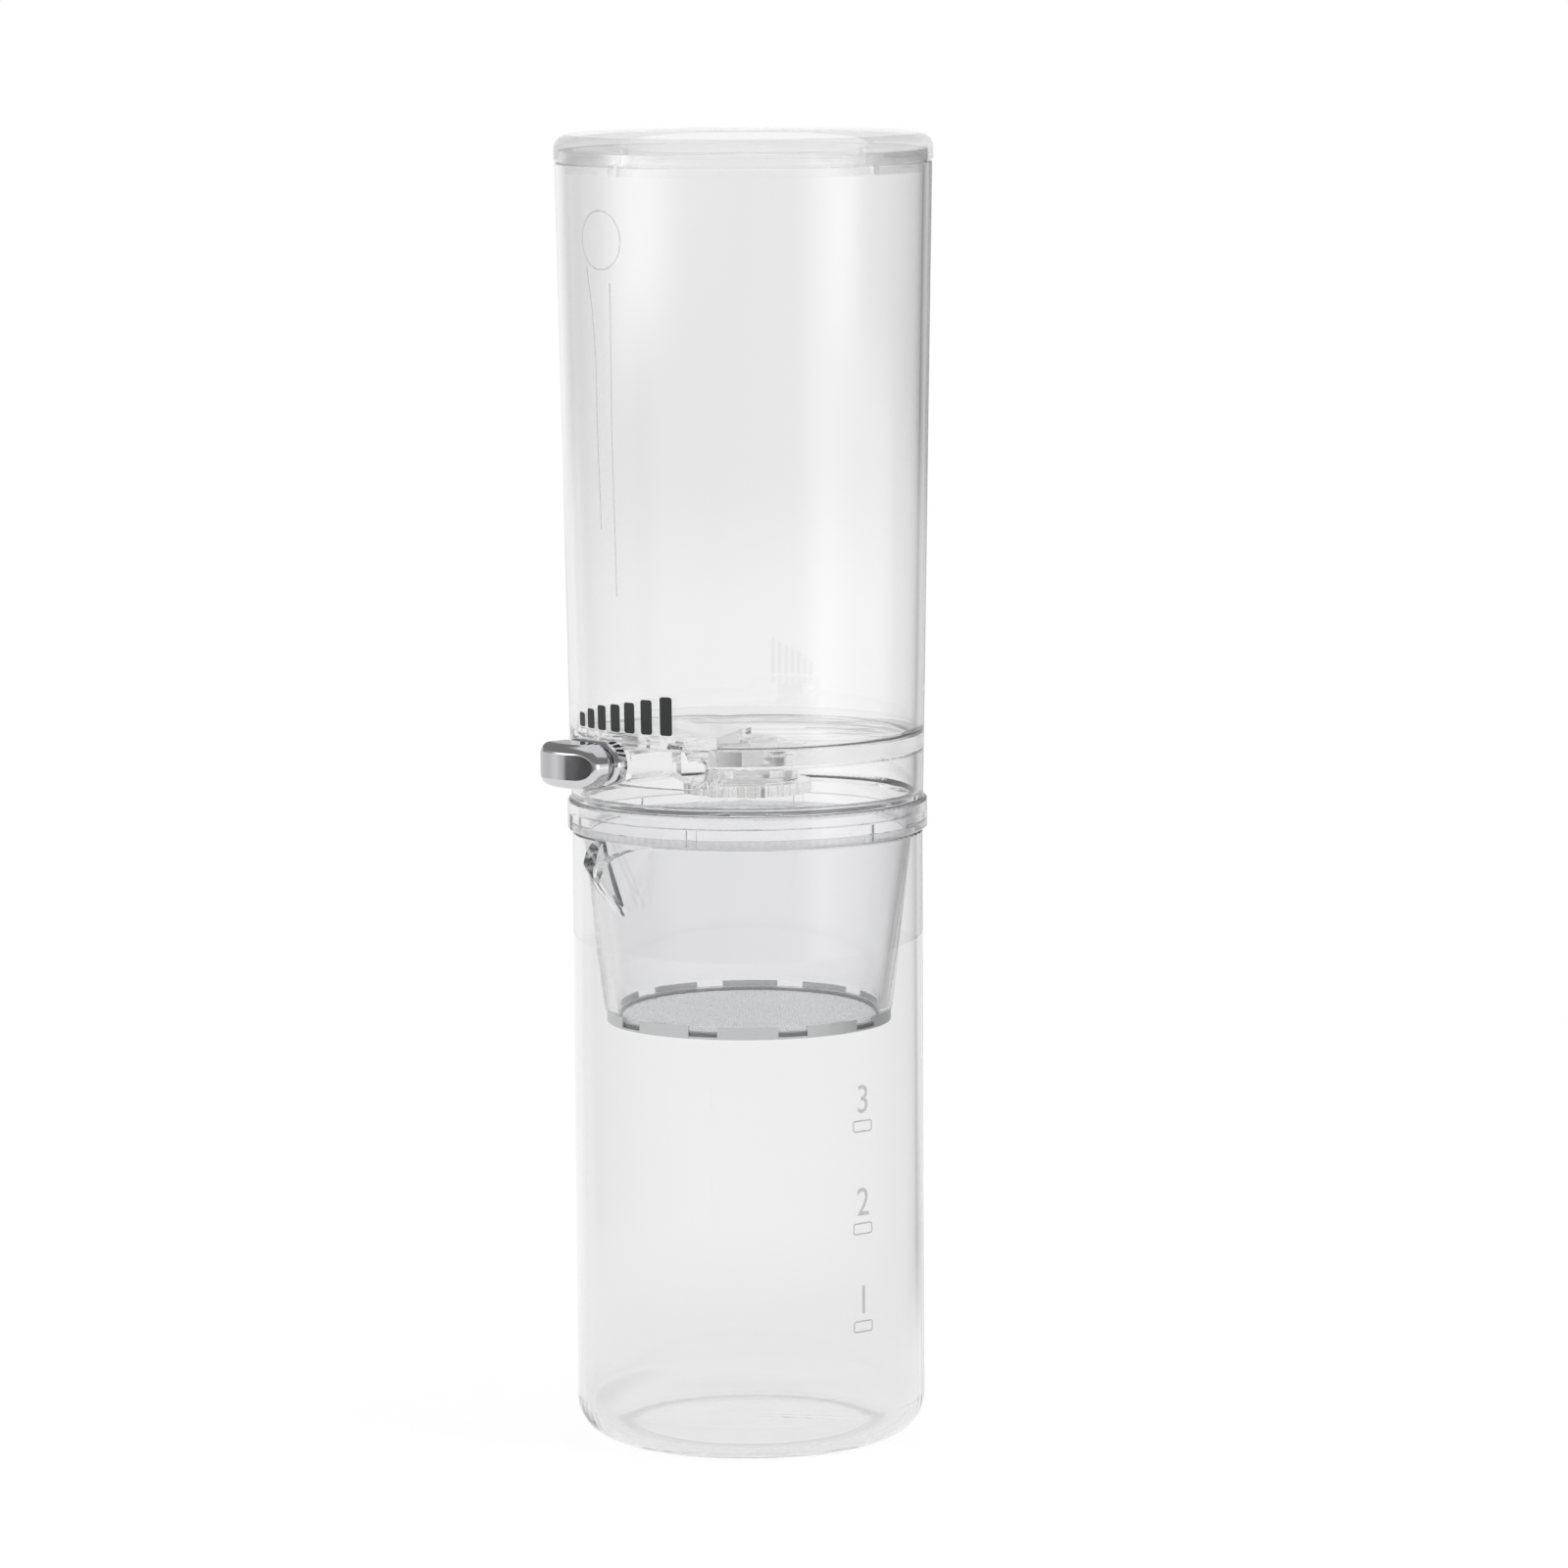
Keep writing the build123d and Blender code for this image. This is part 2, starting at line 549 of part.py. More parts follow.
def disc_spring():
    """Sprung washer under the boss; its drag holds the lever where it is set."""
    low = HUB_TOP + BORE_PLAY
    high = low + DISC_SPRING_HEIGHT
    inner = SPINDLE_R + 2 * BORE_PLAY
    return turned([
        (inner, low), (inner + 2 * DISC_SPRING_THICK, low), (DISC_SPRING_R, high - DISC_SPRING_THICK),
        (DISC_SPRING_R, high), (DISC_SPRING_R - 2 * DISC_SPRING_THICK, high),
        (inner, low + DISC_SPRING_THICK),
    ])


def drip_nozzle():
    """Round nut under the hub that ends in the drip point."""
    low = NOZZLE_BOTTOM
    high = HUB_BOTTOM
    socket_r = SPINDLE_TAIL_R + STUD_PLAY
    return turned([
        (DRIP_BORE_R, low - NOZZLE_TIP_DROP), (NOZZLE_TIP_R - NOZZLE_TIP_TAPER, low - NOZZLE_TIP_DROP),
        (NOZZLE_TIP_R, low), (NOZZLE_R, low), (NOZZLE_R, high), (socket_r, high),
        (socket_r, high - NOZZLE_SOCKET), (DRIP_BORE_R, high - NOZZLE_SOCKET),
    ], [((NOZZLE_R, low), NOZZLE_EDGE_R)])


# --- Lever and knob -------------------------------------------------------------------------

def lever_hub():
    """Ridged disc under the boss, with a collar round it."""
    collar_in = BOSS_R + HUB_PLAY
    collar_out = collar_in + HUB_COLLAR_WALL
    top = HUB_TOP + HUB_COLLAR_HEIGHT
    tail = SPINDLE_TAIL_R + STUD_PLAY
    hub = turned([
        (tail, HUB_BOTTOM), (HUB_R, HUB_BOTTOM), (HUB_R, HUB_TOP), (collar_out, HUB_TOP),
        (collar_out, top), (collar_in, top), (collar_in, HUB_TOP), (tail, HUB_TOP),
    ])
    ridge = Pos(HUB_R, 0, HUB_BOTTOM + HUB_THICK / 2) * Cylinder(RIDGE_R, HUB_THICK + MARGIN)
    for index in range(RIDGE_COUNT):
        hub -= Rot(0, 0, index * 360 / RIDGE_COUNT) * ridge
    return hub


def arm_beam():
    """Radial arm with a U section, stepped up under the hood and out through the slot."""
    root = BOSS_R + HUB_PLAY + HUB_COLLAR_WALL / 2
    step_low = FLOOR_Z - ARM_ROOT_GAP
    rise = ARM_TOP - step_low
    outline = Polyline(
        (root, HUB_TOP - MARGIN), (root, step_low - ARM_ROOT_CHAMFER), (root + ARM_ROOT_CHAMFER, step_low),
        (ARM_STEP_R, step_low),
        (ARM_STEP_R + rise / 2, ARM_TOP), (ARM_REACH, ARM_TOP), (ARM_REACH, ARM_BOTTOM),
        (ARM_STEP_R + rise, ARM_BOTTOM), (HUB_R, HUB_TOP - MARGIN), close=True)
    side = Plane.XZ.offset(-ARM_WIDTH / 2) * make_face(outline)
    beam = extrude(side, ARM_WIDTH)
    outer = beam.edges().filter_by(Axis.X).filter_by(lambda edge: edge.center().Z > ARM_BOTTOM - ARM_PLAY)
    beam = fillet(outer, ARM_EDGE_R)
    pocket_in = ARM_STEP_R + rise
    pocket_out = SKIRT_BORE_R - ARM_WALL
    return beam - block(0, pocket_in, pocket_out, ARM_WIDTH / 2 - ARM_WALL,
                        ARM_BOTTOM - MARGIN, ARM_TOP - ARM_WALL)


def lever_arm():
    """Clear lever: hub, arm and the bore that takes the knob's stud."""
    lever = lever_hub() + Rot(0, 0, LEVER_REST) * arm_beam()
    stud_start = KNOB_BACK + STUD_IN_KNOB - STUD_LENGTH
    bore = radial_plane(LEVER_REST, stud_start, SLOT_Z) * Circle(STUD_R + STUD_PLAY)
    return lever - extrude(bore, STUD_LENGTH)


def knob_slab(start, thickness, inset):
    """Pill-shaped slab of the knob between two distances from the axis."""
    pill = SlotOverall(KNOB_WIDTH - 2 * inset, KNOB_HEIGHT - 2 * inset)
    return extrude(radial_plane(LEVER_REST, start, KNOB_Z) * pill, thickness)


def lever_knob():
    """Polished pill-shaped thumb knob: flange, groove and a body with a crowned face."""
    body_back = KNOB_BACK + KNOB_FLANGE + KNOB_GROOVE
    face = KNOB_BACK + KNOB_DEPTH
    crown_r = (KNOB_WIDTH / 2) ** 2 / (2 * KNOB_CROWN)
    outward = Axis((0, 0, 0), radial_plane(LEVER_REST, 0, 0).z_dir)
    crown = Pos(face - crown_r, 0, KNOB_Z) * Rot(0, 0, 180) * Cylinder(crown_r, 2 * KNOB_HEIGHT)
    body = knob_slab(body_back, face - body_back, 0) & Rot(0, 0, LEVER_REST) * crown
    for at_face, radius in ((True, KNOB_FACE_R), (False, KNOB_EDGE_R)):
        rims = body.edges().filter_by(outward, reverse=True).filter_by(
            lambda rim: (rim.center().dot(outward.direction) > body_back + KNOB_FACE_R) == at_face)
        body = fillet(rims, radius)
    flange = knob_slab(KNOB_BACK, KNOB_FLANGE, 0)
    flange = fillet(flange.faces().sort_by(outward)[-1].edges(), KNOB_EDGE_R)
    neck = knob_slab(KNOB_BACK + MARGIN, KNOB_DEPTH / 2, KNOB_GROOVE_DEPTH + KNOB_EDGE_R)
    stud = radial_plane(LEVER_REST, KNOB_BACK - MARGIN, SLOT_Z) * Circle(STUD_R + STUD_PLAY)
    return flange + neck + body - extrude(stud, STUD_IN_KNOB + MARGIN)


def knob_stud():
    """Steel stud that joins the knob to the arm."""
    start = KNOB_BACK + STUD_IN_KNOB - STUD_LENGTH
    return extrude(radial_plane(LEVER_REST, start, SLOT_Z) * Circle(STUD_R), STUD_LENGTH)


# --- Lid ------------------------------------------------------------------------------------

def lid():
    """Flat lid: plate with a round shoulder, a skirt outside the rim and a vented plug inside."""
    under = TANK_RIM_Z
    top = under + LID_PLATE
    skirt_r = TANK_RIM_R + LID_PLAY
    plug_out = TANK_BORE_TOP_R - PLUG_PLAY
    plug_in = plug_out - PLUG_WALL
    skirt_z = TANK_LEDGE_Z + LID_SKIRT_GAP
    cover = turned([
        (0, under), (plug_in, under), (plug_in, under - PLUG_DEPTH), (plug_out, under - PLUG_DEPTH),
        (plug_out, under), (skirt_r, under), (skirt_r, skirt_z), (LID_R, skirt_z), (LID_R, top), (0, top),
    ], [((LID_R, top), LID_SHOULDER_R), ((LID_R, skirt_z), LID_SKIRT_EDGE_R)])
    for index in range(VENT_COUNT):
        azimuth = VENT_FIRST + index * 360 / VENT_COUNT
        cover -= block(azimuth, plug_in - MARGIN, plug_out + PLUG_PLAY / 2, VENT_WIDTH / 2,
                       under - PLUG_DEPTH - MARGIN, under - PLUG_DEPTH + VENT_HEIGHT)
    return cover


PARTS = {
    "carafe_glass": carafe_glass,
    "brew_basket": brew_basket,
    "basket_gasket": basket_gasket,
    "filter_ring": filter_ring,
    "filter_screen": filter_screen,
    "screen_rim": screen_rim,
    "filter_seal": filter_seal,
    "water_tank": water_tank,
    "valve_seat": valve_seat,
    "valve_spindle": valve_spindle,
    "spindle_cap": spindle_cap,
    "o_ring_lower": lambda: o_ring(o_ring_levels()[0]),
    "o_ring_upper": lambda: o_ring(o_ring_levels()[1]),
    "disc_spring": disc_spring,
    "drip_nozzle": drip_nozzle,
    "lever_arm": lever_arm,
    "lever_knob": lever_knob,
    "knob_stud": knob_stud,
    "lid": lid,
}


def main():
    """Build every piece and write it to its own file."""
    os.makedirs("parts", exist_ok=True)
    for name, make in PARTS.items():
        piece = make()
        piece.label = name
        export_step(piece, f"parts/{name}.step")


main()
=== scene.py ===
"""Looks of a cold-drip coffee tower: clear plastic tank, brew basket and lid over a glass carafe.

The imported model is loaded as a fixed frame. Its nodes keep their shapes and get their finishes
here, and the woven screen, the printed scale, the cup marks and the moulded outline are added.
Lengths in the classes are millimetres; meshes are in metres, in the frame's axes. Angles named
theta are degrees round the tower from the front, positive to the right as one faces it.
"""

import logging
import math
from dataclasses import dataclass, field
from enum import Enum

import bmesh
import bpy
from bpy.types import Material, Mesh, Node, NodeSocket, NodeTree, Object
from mathutils import Matrix, Quaternion, Vector

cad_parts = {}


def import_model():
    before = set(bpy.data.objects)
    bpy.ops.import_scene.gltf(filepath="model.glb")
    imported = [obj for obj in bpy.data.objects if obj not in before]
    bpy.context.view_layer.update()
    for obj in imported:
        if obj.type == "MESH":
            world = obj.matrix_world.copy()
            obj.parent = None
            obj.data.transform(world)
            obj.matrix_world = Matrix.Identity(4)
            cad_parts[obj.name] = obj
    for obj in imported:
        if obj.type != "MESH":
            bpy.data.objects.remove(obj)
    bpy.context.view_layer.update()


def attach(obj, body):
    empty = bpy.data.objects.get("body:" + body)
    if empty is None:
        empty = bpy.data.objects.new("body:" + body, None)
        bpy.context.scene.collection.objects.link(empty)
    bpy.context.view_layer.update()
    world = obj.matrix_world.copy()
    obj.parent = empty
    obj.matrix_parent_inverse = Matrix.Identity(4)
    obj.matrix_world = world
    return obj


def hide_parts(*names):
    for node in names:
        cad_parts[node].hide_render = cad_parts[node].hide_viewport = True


LOG = logging.getLogger("coffee_tower")
MM = 0.001


# --- Small tools ------------------------------------------------------------------------------


def linear(code: str) -> tuple[float, float, float, float]:
    """Turns an sRGB hex colour into linear values.

    Args:
        code: six hex digits, as in "C8CACC".

    Returns:
        Red, green, blue and an alpha of 1.
    """
    parts = [int(code[i:i + 2], 16) / 255 for i in (0, 2, 4)]
    red, green, blue = (c / 12.92 if c <= 0.04045 else ((c + 0.055) / 1.055) ** 2.4 for c in parts)
    return red, green, blue, 1.0


def add_node(tree: NodeTree, kind: str, values: dict | None = None,
             links: dict | None = None, **settings: object) -> Node:
    """Adds one node with its settings, values and incoming links.

    Args:
        tree: the node tree.
        kind: the node's type name.
        values: socket name or index to value.
        links: socket name or index to the output socket that feeds it.
        settings: the node's own properties.

    Returns:
        The new node.
    """
    node = tree.nodes.new(kind)
    for key, value in settings.items():
        setattr(node, key, value)
    for key, value in (values or {}).items():
        node.inputs[key].default_value = value
    for key, source in (links or {}).items():
        tree.links.new(source, node.inputs[key])
    return node


def round_the_tower(theta: float, radius: float, height: float) -> Vector:
    """Point in metres at an angle, a radius and a height in millimetres."""
    angle = math.radians(theta)
    return Vector((radius * math.sin(angle), -radius * math.cos(angle), height)) * MM


def place_mesh(name: str, mesh: Mesh, body: str, material: Material) -> Object:
    """Makes a piece of a finished mesh and lets it ride on a body.

    Args:
        name: the piece's name.
        mesh: its mesh, in place.
        body: the body that it rides on.
        material: its finish.

    Returns:
        The new object, at the origin and unturned.
    """
    mesh.materials.clear()
    mesh.materials.append(material)
    piece = bpy.data.objects.new(name, mesh)
    bpy.context.scene.collection.objects.link(piece)
    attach(piece, body)
    LOG.info("piece %s on %s: %d faces", name, body, len(mesh.polygons))
    return piece


def dress(node: str, material: Material) -> None:
    """Gives a carried-over node its finish."""
    mesh = bpy.data.objects[node].data
    mesh.materials.clear()
    mesh.materials.append(material)
    LOG.info("node %s: %s", node, material.name)


# --- Finishes ---------------------------------------------------------------------------------


def fresh_material(name: str) -> tuple[Material, NodeTree, NodeSocket]:
    """Starts a material.

    Args:
        name: the material's name.

    Returns:
        The material, its empty node tree and the socket that gives Object coordinates in it.
    """
    material = bpy.data.materials.new(name)
    material.use_nodes = True
    tree = material.node_tree
    tree.nodes.clear()
    return material, tree, add_node(tree, "ShaderNodeTexCoord").outputs["Object"]


@dataclass(frozen=True)
class ClearFinish:
    """A clear solid that bends light and is a little darker where it is thick.

    Its depth takes on the depth colour, by depth_per_m for each metre. The ripple is what its
    making left in the surface. Its cover is the share of light that it bends at all: less than 1
    lets it fade into a bright ground.
    """

    name: str
    surface: str
    ior: float
    roughness: float
    depth_colour: str
    depth_per_m: float
    ripple_mm: float
    ripple_height_mm: float
    ripple_stretch: float = 1.0
    cover: float = 1.0

    def build(self) -> Material:
        """Builds the material."""
        material, tree, place = fresh_material(self.name)
        turned = add_node(tree, "ShaderNodeMapping", links={"Vector": place},
                          values={"Scale": (1.0, 1.0, 1.0 / self.ripple_stretch)})
        ripple = add_node(tree, "ShaderNodeTexNoise", links={"Vector": turned.outputs["Vector"]},
                          values={"Scale": 1.0 / (self.ripple_mm * MM), "Detail": 1.0})
        bump = add_node(tree, "ShaderNodeBump", links={"Height": ripple.outputs["Fac"]},
                        values={"Strength": 1.0, "Distance": self.ripple_height_mm * MM})
        shader = add_node(tree, "ShaderNodeBsdfPrincipled", values={
            "Base Color": linear(self.surface), "IOR": self.ior, "Roughness": self.roughness,
            "Transmission Weight": 1.0, "Alpha": self.cover,
        }, links={"Normal": bump.outputs["Normal"]})
        depth = add_node(tree, "ShaderNodeVolumeAbsorption",
                         values={"Color": linear(self.depth_colour), "Density": self.depth_per_m})
        add_node(tree, "ShaderNodeOutputMaterial", links={
            "Surface": shader.outputs["BSDF"], "Volume": depth.outputs["Volume"],
        })
        return material


@dataclass(frozen=True)
class MetalFinish:
    """Stainless steel, with the lines or grain left by polishing, brushing, blasting or rolling."""

    name: str
    colour: str
    roughness: float
    roughness_spread: float
    line_mm: float
    line_height_mm: float
    stretch: tuple[float, float, float] = (1.0, 1.0, 1.0)

    def build(self) -> Material:
        """Builds the material."""
        material, tree, place = fresh_material(self.name)
        turned = add_node(tree, "ShaderNodeMapping", links={"Vector": place},
                          values={"Scale": self.stretch})
        lines = add_node(tree, "ShaderNodeTexNoise", links={"Vector": turned.outputs["Vector"]},
                         values={"Scale": 1.0 / (self.line_mm * MM), "Detail": 3.0})
        rough = add_node(tree, "ShaderNodeMapRange", links={"Value": lines.outputs["Fac"]}, values={
            "To Min": self.roughness - self.roughness_spread,
            "To Max": self.roughness + self.roughness_spread,
        })
        bump = add_node(tree, "ShaderNodeBump", links={"Height": lines.outputs["Fac"]},
                        values={"Strength": 1.0, "Distance": self.line_height_mm * MM})
        shader = add_node(tree, "ShaderNodeBsdfPrincipled", values={
            "Base Color": linear(self.colour), "Metallic": 1.0,
        }, links={"Roughness": rough.outputs["Result"], "Normal": bump.outputs["Normal"]})
        add_node(tree, "ShaderNodeOutputMaterial", links={"Surface": shader.outputs["BSDF"]})
        return material


@dataclass(frozen=True)
class SolidFinish:
    """A plastic, rubber or ink with a fine mottle and an even sheen.

    Its cover is how much of what lies behind it the piece hides: 1 for ink, and little for the
    milky and clear pieces that are pressed against each other inside the tower.
    """

    name: str
    colour: str
    second_colour: str
    mottle_mm: float
    roughness: float
    ior: float
    bump_mm: float
    cover: float = 1.0

    def build(self) -> Material:
        """Builds the material."""
        material, tree, place = fresh_material(self.name)
        mottle = add_node(tree, "ShaderNodeTexNoise", links={"Vector": place},
                          values={"Scale": 1.0 / (self.mottle_mm * MM), "Detail": 2.0})
        colour = add_node(tree, "ShaderNodeMix", data_type="RGBA",
                          links={"Factor": mottle.outputs["Fac"]},
                          values={6: linear(self.colour), 7: linear(self.second_colour)})
        bump = add_node(tree, "ShaderNodeBump", links={"Height": mottle.outputs["Fac"]},
                        values={"Strength": 1.0, "Distance": self.bump_mm * MM})
        shader = add_node(tree, "ShaderNodeBsdfPrincipled", values={
            "Roughness": self.roughness, "IOR": self.ior, "Alpha": self.cover,
        }, links={"Base Color": colour.outputs[2], "Normal": bump.outputs["Normal"]})
        add_node(tree, "ShaderNodeOutputMaterial", links={"Surface": shader.outputs["BSDF"]})
        return material


class Finish(Enum):
    """The finishes of the tower's pieces."""

    # Injection-moulded copolyester: clear, faintly grey in its thick edges, with the long, shallow
    # waves that a cooling moulding keeps.
    TANK_PLASTIC = ClearFinish(
        "moulded_copolyester", surface="FEFEFE", ior=1.54, roughness=0.01, depth_colour="A9ABAE",
        depth_per_m=1.5, ripple_mm=24.0, ripple_height_mm=0.012, ripple_stretch=3.0)
    # The basket's is a shade smokier, so its cone stays visible inside the glass.
    BASKET_PLASTIC = ClearFinish(
        "smoky_copolyester", surface="FAFAFB", ior=1.54, roughness=0.01, depth_colour="8F9194",
        depth_per_m=2.0, ripple_mm=24.0, ripple_height_mm=0.012, ripple_stretch=3.0)
    # The same plastic in the thin lid and in the fine moulded outline, both of which the bright
    # ground behind them all but washes out.
    LID_PLASTIC = ClearFinish(
        "moulded_lid_copolyester", surface="FEFEFE", ior=1.54, roughness=0.01,
        depth_colour="A9ABAE", depth_per_m=0.5, ripple_mm=24.0, ripple_height_mm=0.008, cover=0.35)
    # Drawn borosilicate tube: harder and clearer than the plastic, with faint lines along the tube.
    CARAFE_GLASS = ClearFinish(
        "drawn_borosilicate", surface="FEFEFE", ior=1.474, roughness=0.0, depth_colour="A7ACAE",
        depth_per_m=1.2, ripple_mm=16.0, ripple_height_mm=0.006, ripple_stretch=8.0)
    # Clear polypropylene: a soft, thin-walled plastic, all but lost inside the clear tower.
    VALVE_PLASTIC = SolidFinish(
        "clear_polypropylene", colour="FFFFFF", second_colour="F4F4F4", mottle_mm=1.5,
        roughness=0.12, ior=1.5, bump_mm=0.004, cover=0.07)
    # Moulded silicone: cloudy, soft sheen, no hard highlight.
    SILICONE = SolidFinish(
        "moulded_silicone", colour="F7F7F7", second_colour="EDEDED", mottle_mm=0.8,
        roughness=0.4, ior=1.41, bump_mm=0.004, cover=0.3)
    # Turned natural acetal: waxy, lets light through like frosted glass.
    ACETAL = SolidFinish(
        "turned_natural_acetal", colour="FBFBF9", second_colour="F2F2EF", mottle_mm=1.2,
        roughness=0.38, ior=1.48, bump_mm=0.004, cover=0.3)
    # Mirror-polished 304 steel: sharp dark and light reflections, a trace of buffing.
    POLISHED_STEEL = MetalFinish(
        "buffed_304_steel", colour="CFCFD1", roughness=0.08, roughness_spread=0.025,
        line_mm=2.2, line_height_mm=0.0008, stretch=(1.0, 1.0, 0.25))
    # Satin 304 steel: stamped sheet with fine lines.
    SATIN_STEEL = MetalFinish(
        "satin_304_steel", colour="C8C9CA", roughness=0.36, roughness_spread=0.06,
        line_mm=0.5, line_height_mm=0.002, stretch=(1.0, 1.0, 0.2))
    # Bead-blasted 301 spring steel: pale and even.
    SPRING_STEEL = MetalFinish(
        "blasted_301_spring", colour="F2F2F2", roughness=0.55, roughness_spread=0.05,
        line_mm=0.3, line_height_mm=0.003)
    # Rolled 304 strip, crimped by a press; its dark grey colour is painted shade for the rim, which
    # sits in shadow.
    ROLLED_STEEL = MetalFinish(
        "rolled_304_strip_painted_shade", colour="6E6F72", roughness=0.42, roughness_spread=0.08,
        line_mm=0.6, line_height_mm=0.004, stretch=(1.0, 1.0, 0.3))
    # Drawn 304 wire: bright along each wire; its near-white colour is painted light, for the light
    # that reaches the screen through the glass.
    DRAWN_WIRE = MetalFinish(
        "drawn_304_wire_painted_light", colour="EDEEEE", roughness=0.32, roughness_spread=0.2,
        line_mm=1.1, line_height_mm=0.002)
    # Pad-printed ink: near black, slightly thinner in places.
    BLACK_INK = SolidFinish(
        "pad_printed_ink", colour="17181A", second_colour="242628", mottle_mm=0.35,
        roughness=0.42, ior=1.5, bump_mm=0.004)
    # Fired-on enamel: pale grey and slightly rough, so it reads as a frosted line on the glass.
    PALE_ENAMEL = SolidFinish(
        "fired_pale_enamel", colour="C9CBCC", second_colour="BDBFC1", mottle_mm=0.25,
        roughness=0.6, ior=1.5, bump_mm=0.01, cover=0.45)

    def build(self) -> Material:
        """Returns this finish's material, made once."""
        made = bpy.data.materials.get(self.value.name)
        return made if made else self.value.build()


# --- Shapes that lie on a round wall ----------------------------------------------------------


@dataclass(frozen=True)
class RoundWall:
    """A wall round the tower's axis, as wide as two radii at two heights, in millimetres."""

    low: float
    low_radius: float
    high: float
    high_radius: float

    def radius(self, height: float) -> float:
        """Outer radius at a height."""
        share = (height - self.low) / (self.high - self.low)
        return self.low_radius + (self.high_radius - self.low_radius) * share

    def point(self, theta: float, along: float, height: float, lift: float) -> Vector:
        """Point on the wall, a distance along it from an angle, lifted off it.

        Args:
            theta: angle of the shape's own middle.
            along: distance to the right of it, in millimetres.
            height: height in millimetres.
            lift: distance out from the wall, in millimetres.

        Returns:
            The point in metres.
        """
        radius = self.radius(height)
        return round_the_tower(theta + math.degrees(along / radius), radius + lift, height)


TANK_WALL = RoundWall(166.0, 45.2, 328.6, 48.1)
CARAFE_WALL = RoundWall(10.0, 45.0, 150.0, 45.0)
# A bead's section: across it and out of the wall, as shares of its width and height.
BEAD_SECTION = ((-0.5, -0.4), (-0.3, 0.75), (0.0, 1.0), (0.3, 0.75), (0.5, -0.4))


def wrap_plate(mesh: bmesh.types.BMesh, wall: RoundWall, theta: float,
               rows: list[tuple[float, float]], lift: float, thick: float,
               columns: int = 4) -> None:
    """Adds a thin closed plate that hugs a wall, from the half width of each of its rows.

    Args:
        mesh: the mesh that it is added to.
        wall: the wall that it lies on.
        theta: angle of its middle.
        rows: height and half width of each row, upwards, in millimetres.
        lift: gap under it, in millimetres.
        thick: its thickness, in millimetres.
        columns: faces across its width.
    """
    skins = []
    for layer in (lift, lift + thick):
        skins.append([[
            mesh.verts.new(wall.point(theta, half * (2 * c / columns - 1), height, layer))
            for c in range(columns + 1)] for height, half in rows])
    under, over = skins
    for r in range(len(rows) - 1):
        for c in range(columns):
            mesh.faces.new((over[r][c], over[r][c + 1], over[r + 1][c + 1], over[r + 1][c]))
            mesh.faces.new((under[r][c], under[r + 1][c], under[r + 1][c + 1], under[r][c + 1]))
        mesh.faces.new((under[r][0], over[r][0], over[r + 1][0], under[r + 1][0]))
        mesh.faces.new((under[r][-1], under[r + 1][-1], over[r + 1][-1], over[r][-1]))
    for c in range(columns):
        mesh.faces.new((under[0][c], under[0][c + 1], over[0][c + 1], over[0][c]))
        mesh.faces.new((under[-1][c], over[-1][c], over[-1][c + 1], under[-1][c + 1]))


def wrap_bead(mesh: bmesh.types.BMesh, wall: RoundWall, theta: float,
              path: list[tuple[float, float]], width: float, height: float,
              closed: bool = False) -> None:
    """Adds a fine raised bead along a path on a wall.

    Args:
        mesh: the mesh that it is added to.
        wall: the wall that it lies on.
        theta: angle of the path's own zero.
        path: distance along the wall and height of each point, in millimetres.
        width: the bead's width, in millimetres.
        height: how far it stands proud, in millimetres.
        closed: whether its ends meet.
    """
    rings = []
    count = len(path)
    for i, (along, level) in enumerate(path):
        before = path[(i - 1) % count] if closed or i else path[i]
        after = path[(i + 1) % count] if closed or i < count - 1 else path[i]
        run = Vector((after[0] - before[0], after[1] - before[1])).normalized()
        side = Vector((run.y, -run.x))
        rings.append([
            mesh.verts.new(wall.point(theta, along + side.x * across * width,
                                      level + side.y * across * width, out * height))
            for across, out in BEAD_SECTION])
    last = count if closed else count - 1
    for i in range(last):
        here, there = rings[i], rings[(i + 1) % count]
        for k in range(len(BEAD_SECTION)):
            n = (k + 1) % len(BEAD_SECTION)
            mesh.faces.new((here[k], here[n], there[n], there[k]))
    if not closed:
        mesh.faces.new(rings[0])
        mesh.faces.new(list(reversed(rings[-1])))


def finished(mesh: bmesh.types.BMesh, name: str, smooth: bool = False) -> Mesh:
    """Turns a bmesh into a mesh whose faces point outwards."""
    bmesh.ops.recalc_face_normals(mesh, faces=mesh.faces)
    for face in mesh.faces:
        face.smooth = smooth
    data = bpy.data.meshes.new(name)
    mesh.to_mesh(data)
    mesh.free()
    return data


# --- Sub-assemblies ---------------------------------------------------------------------------


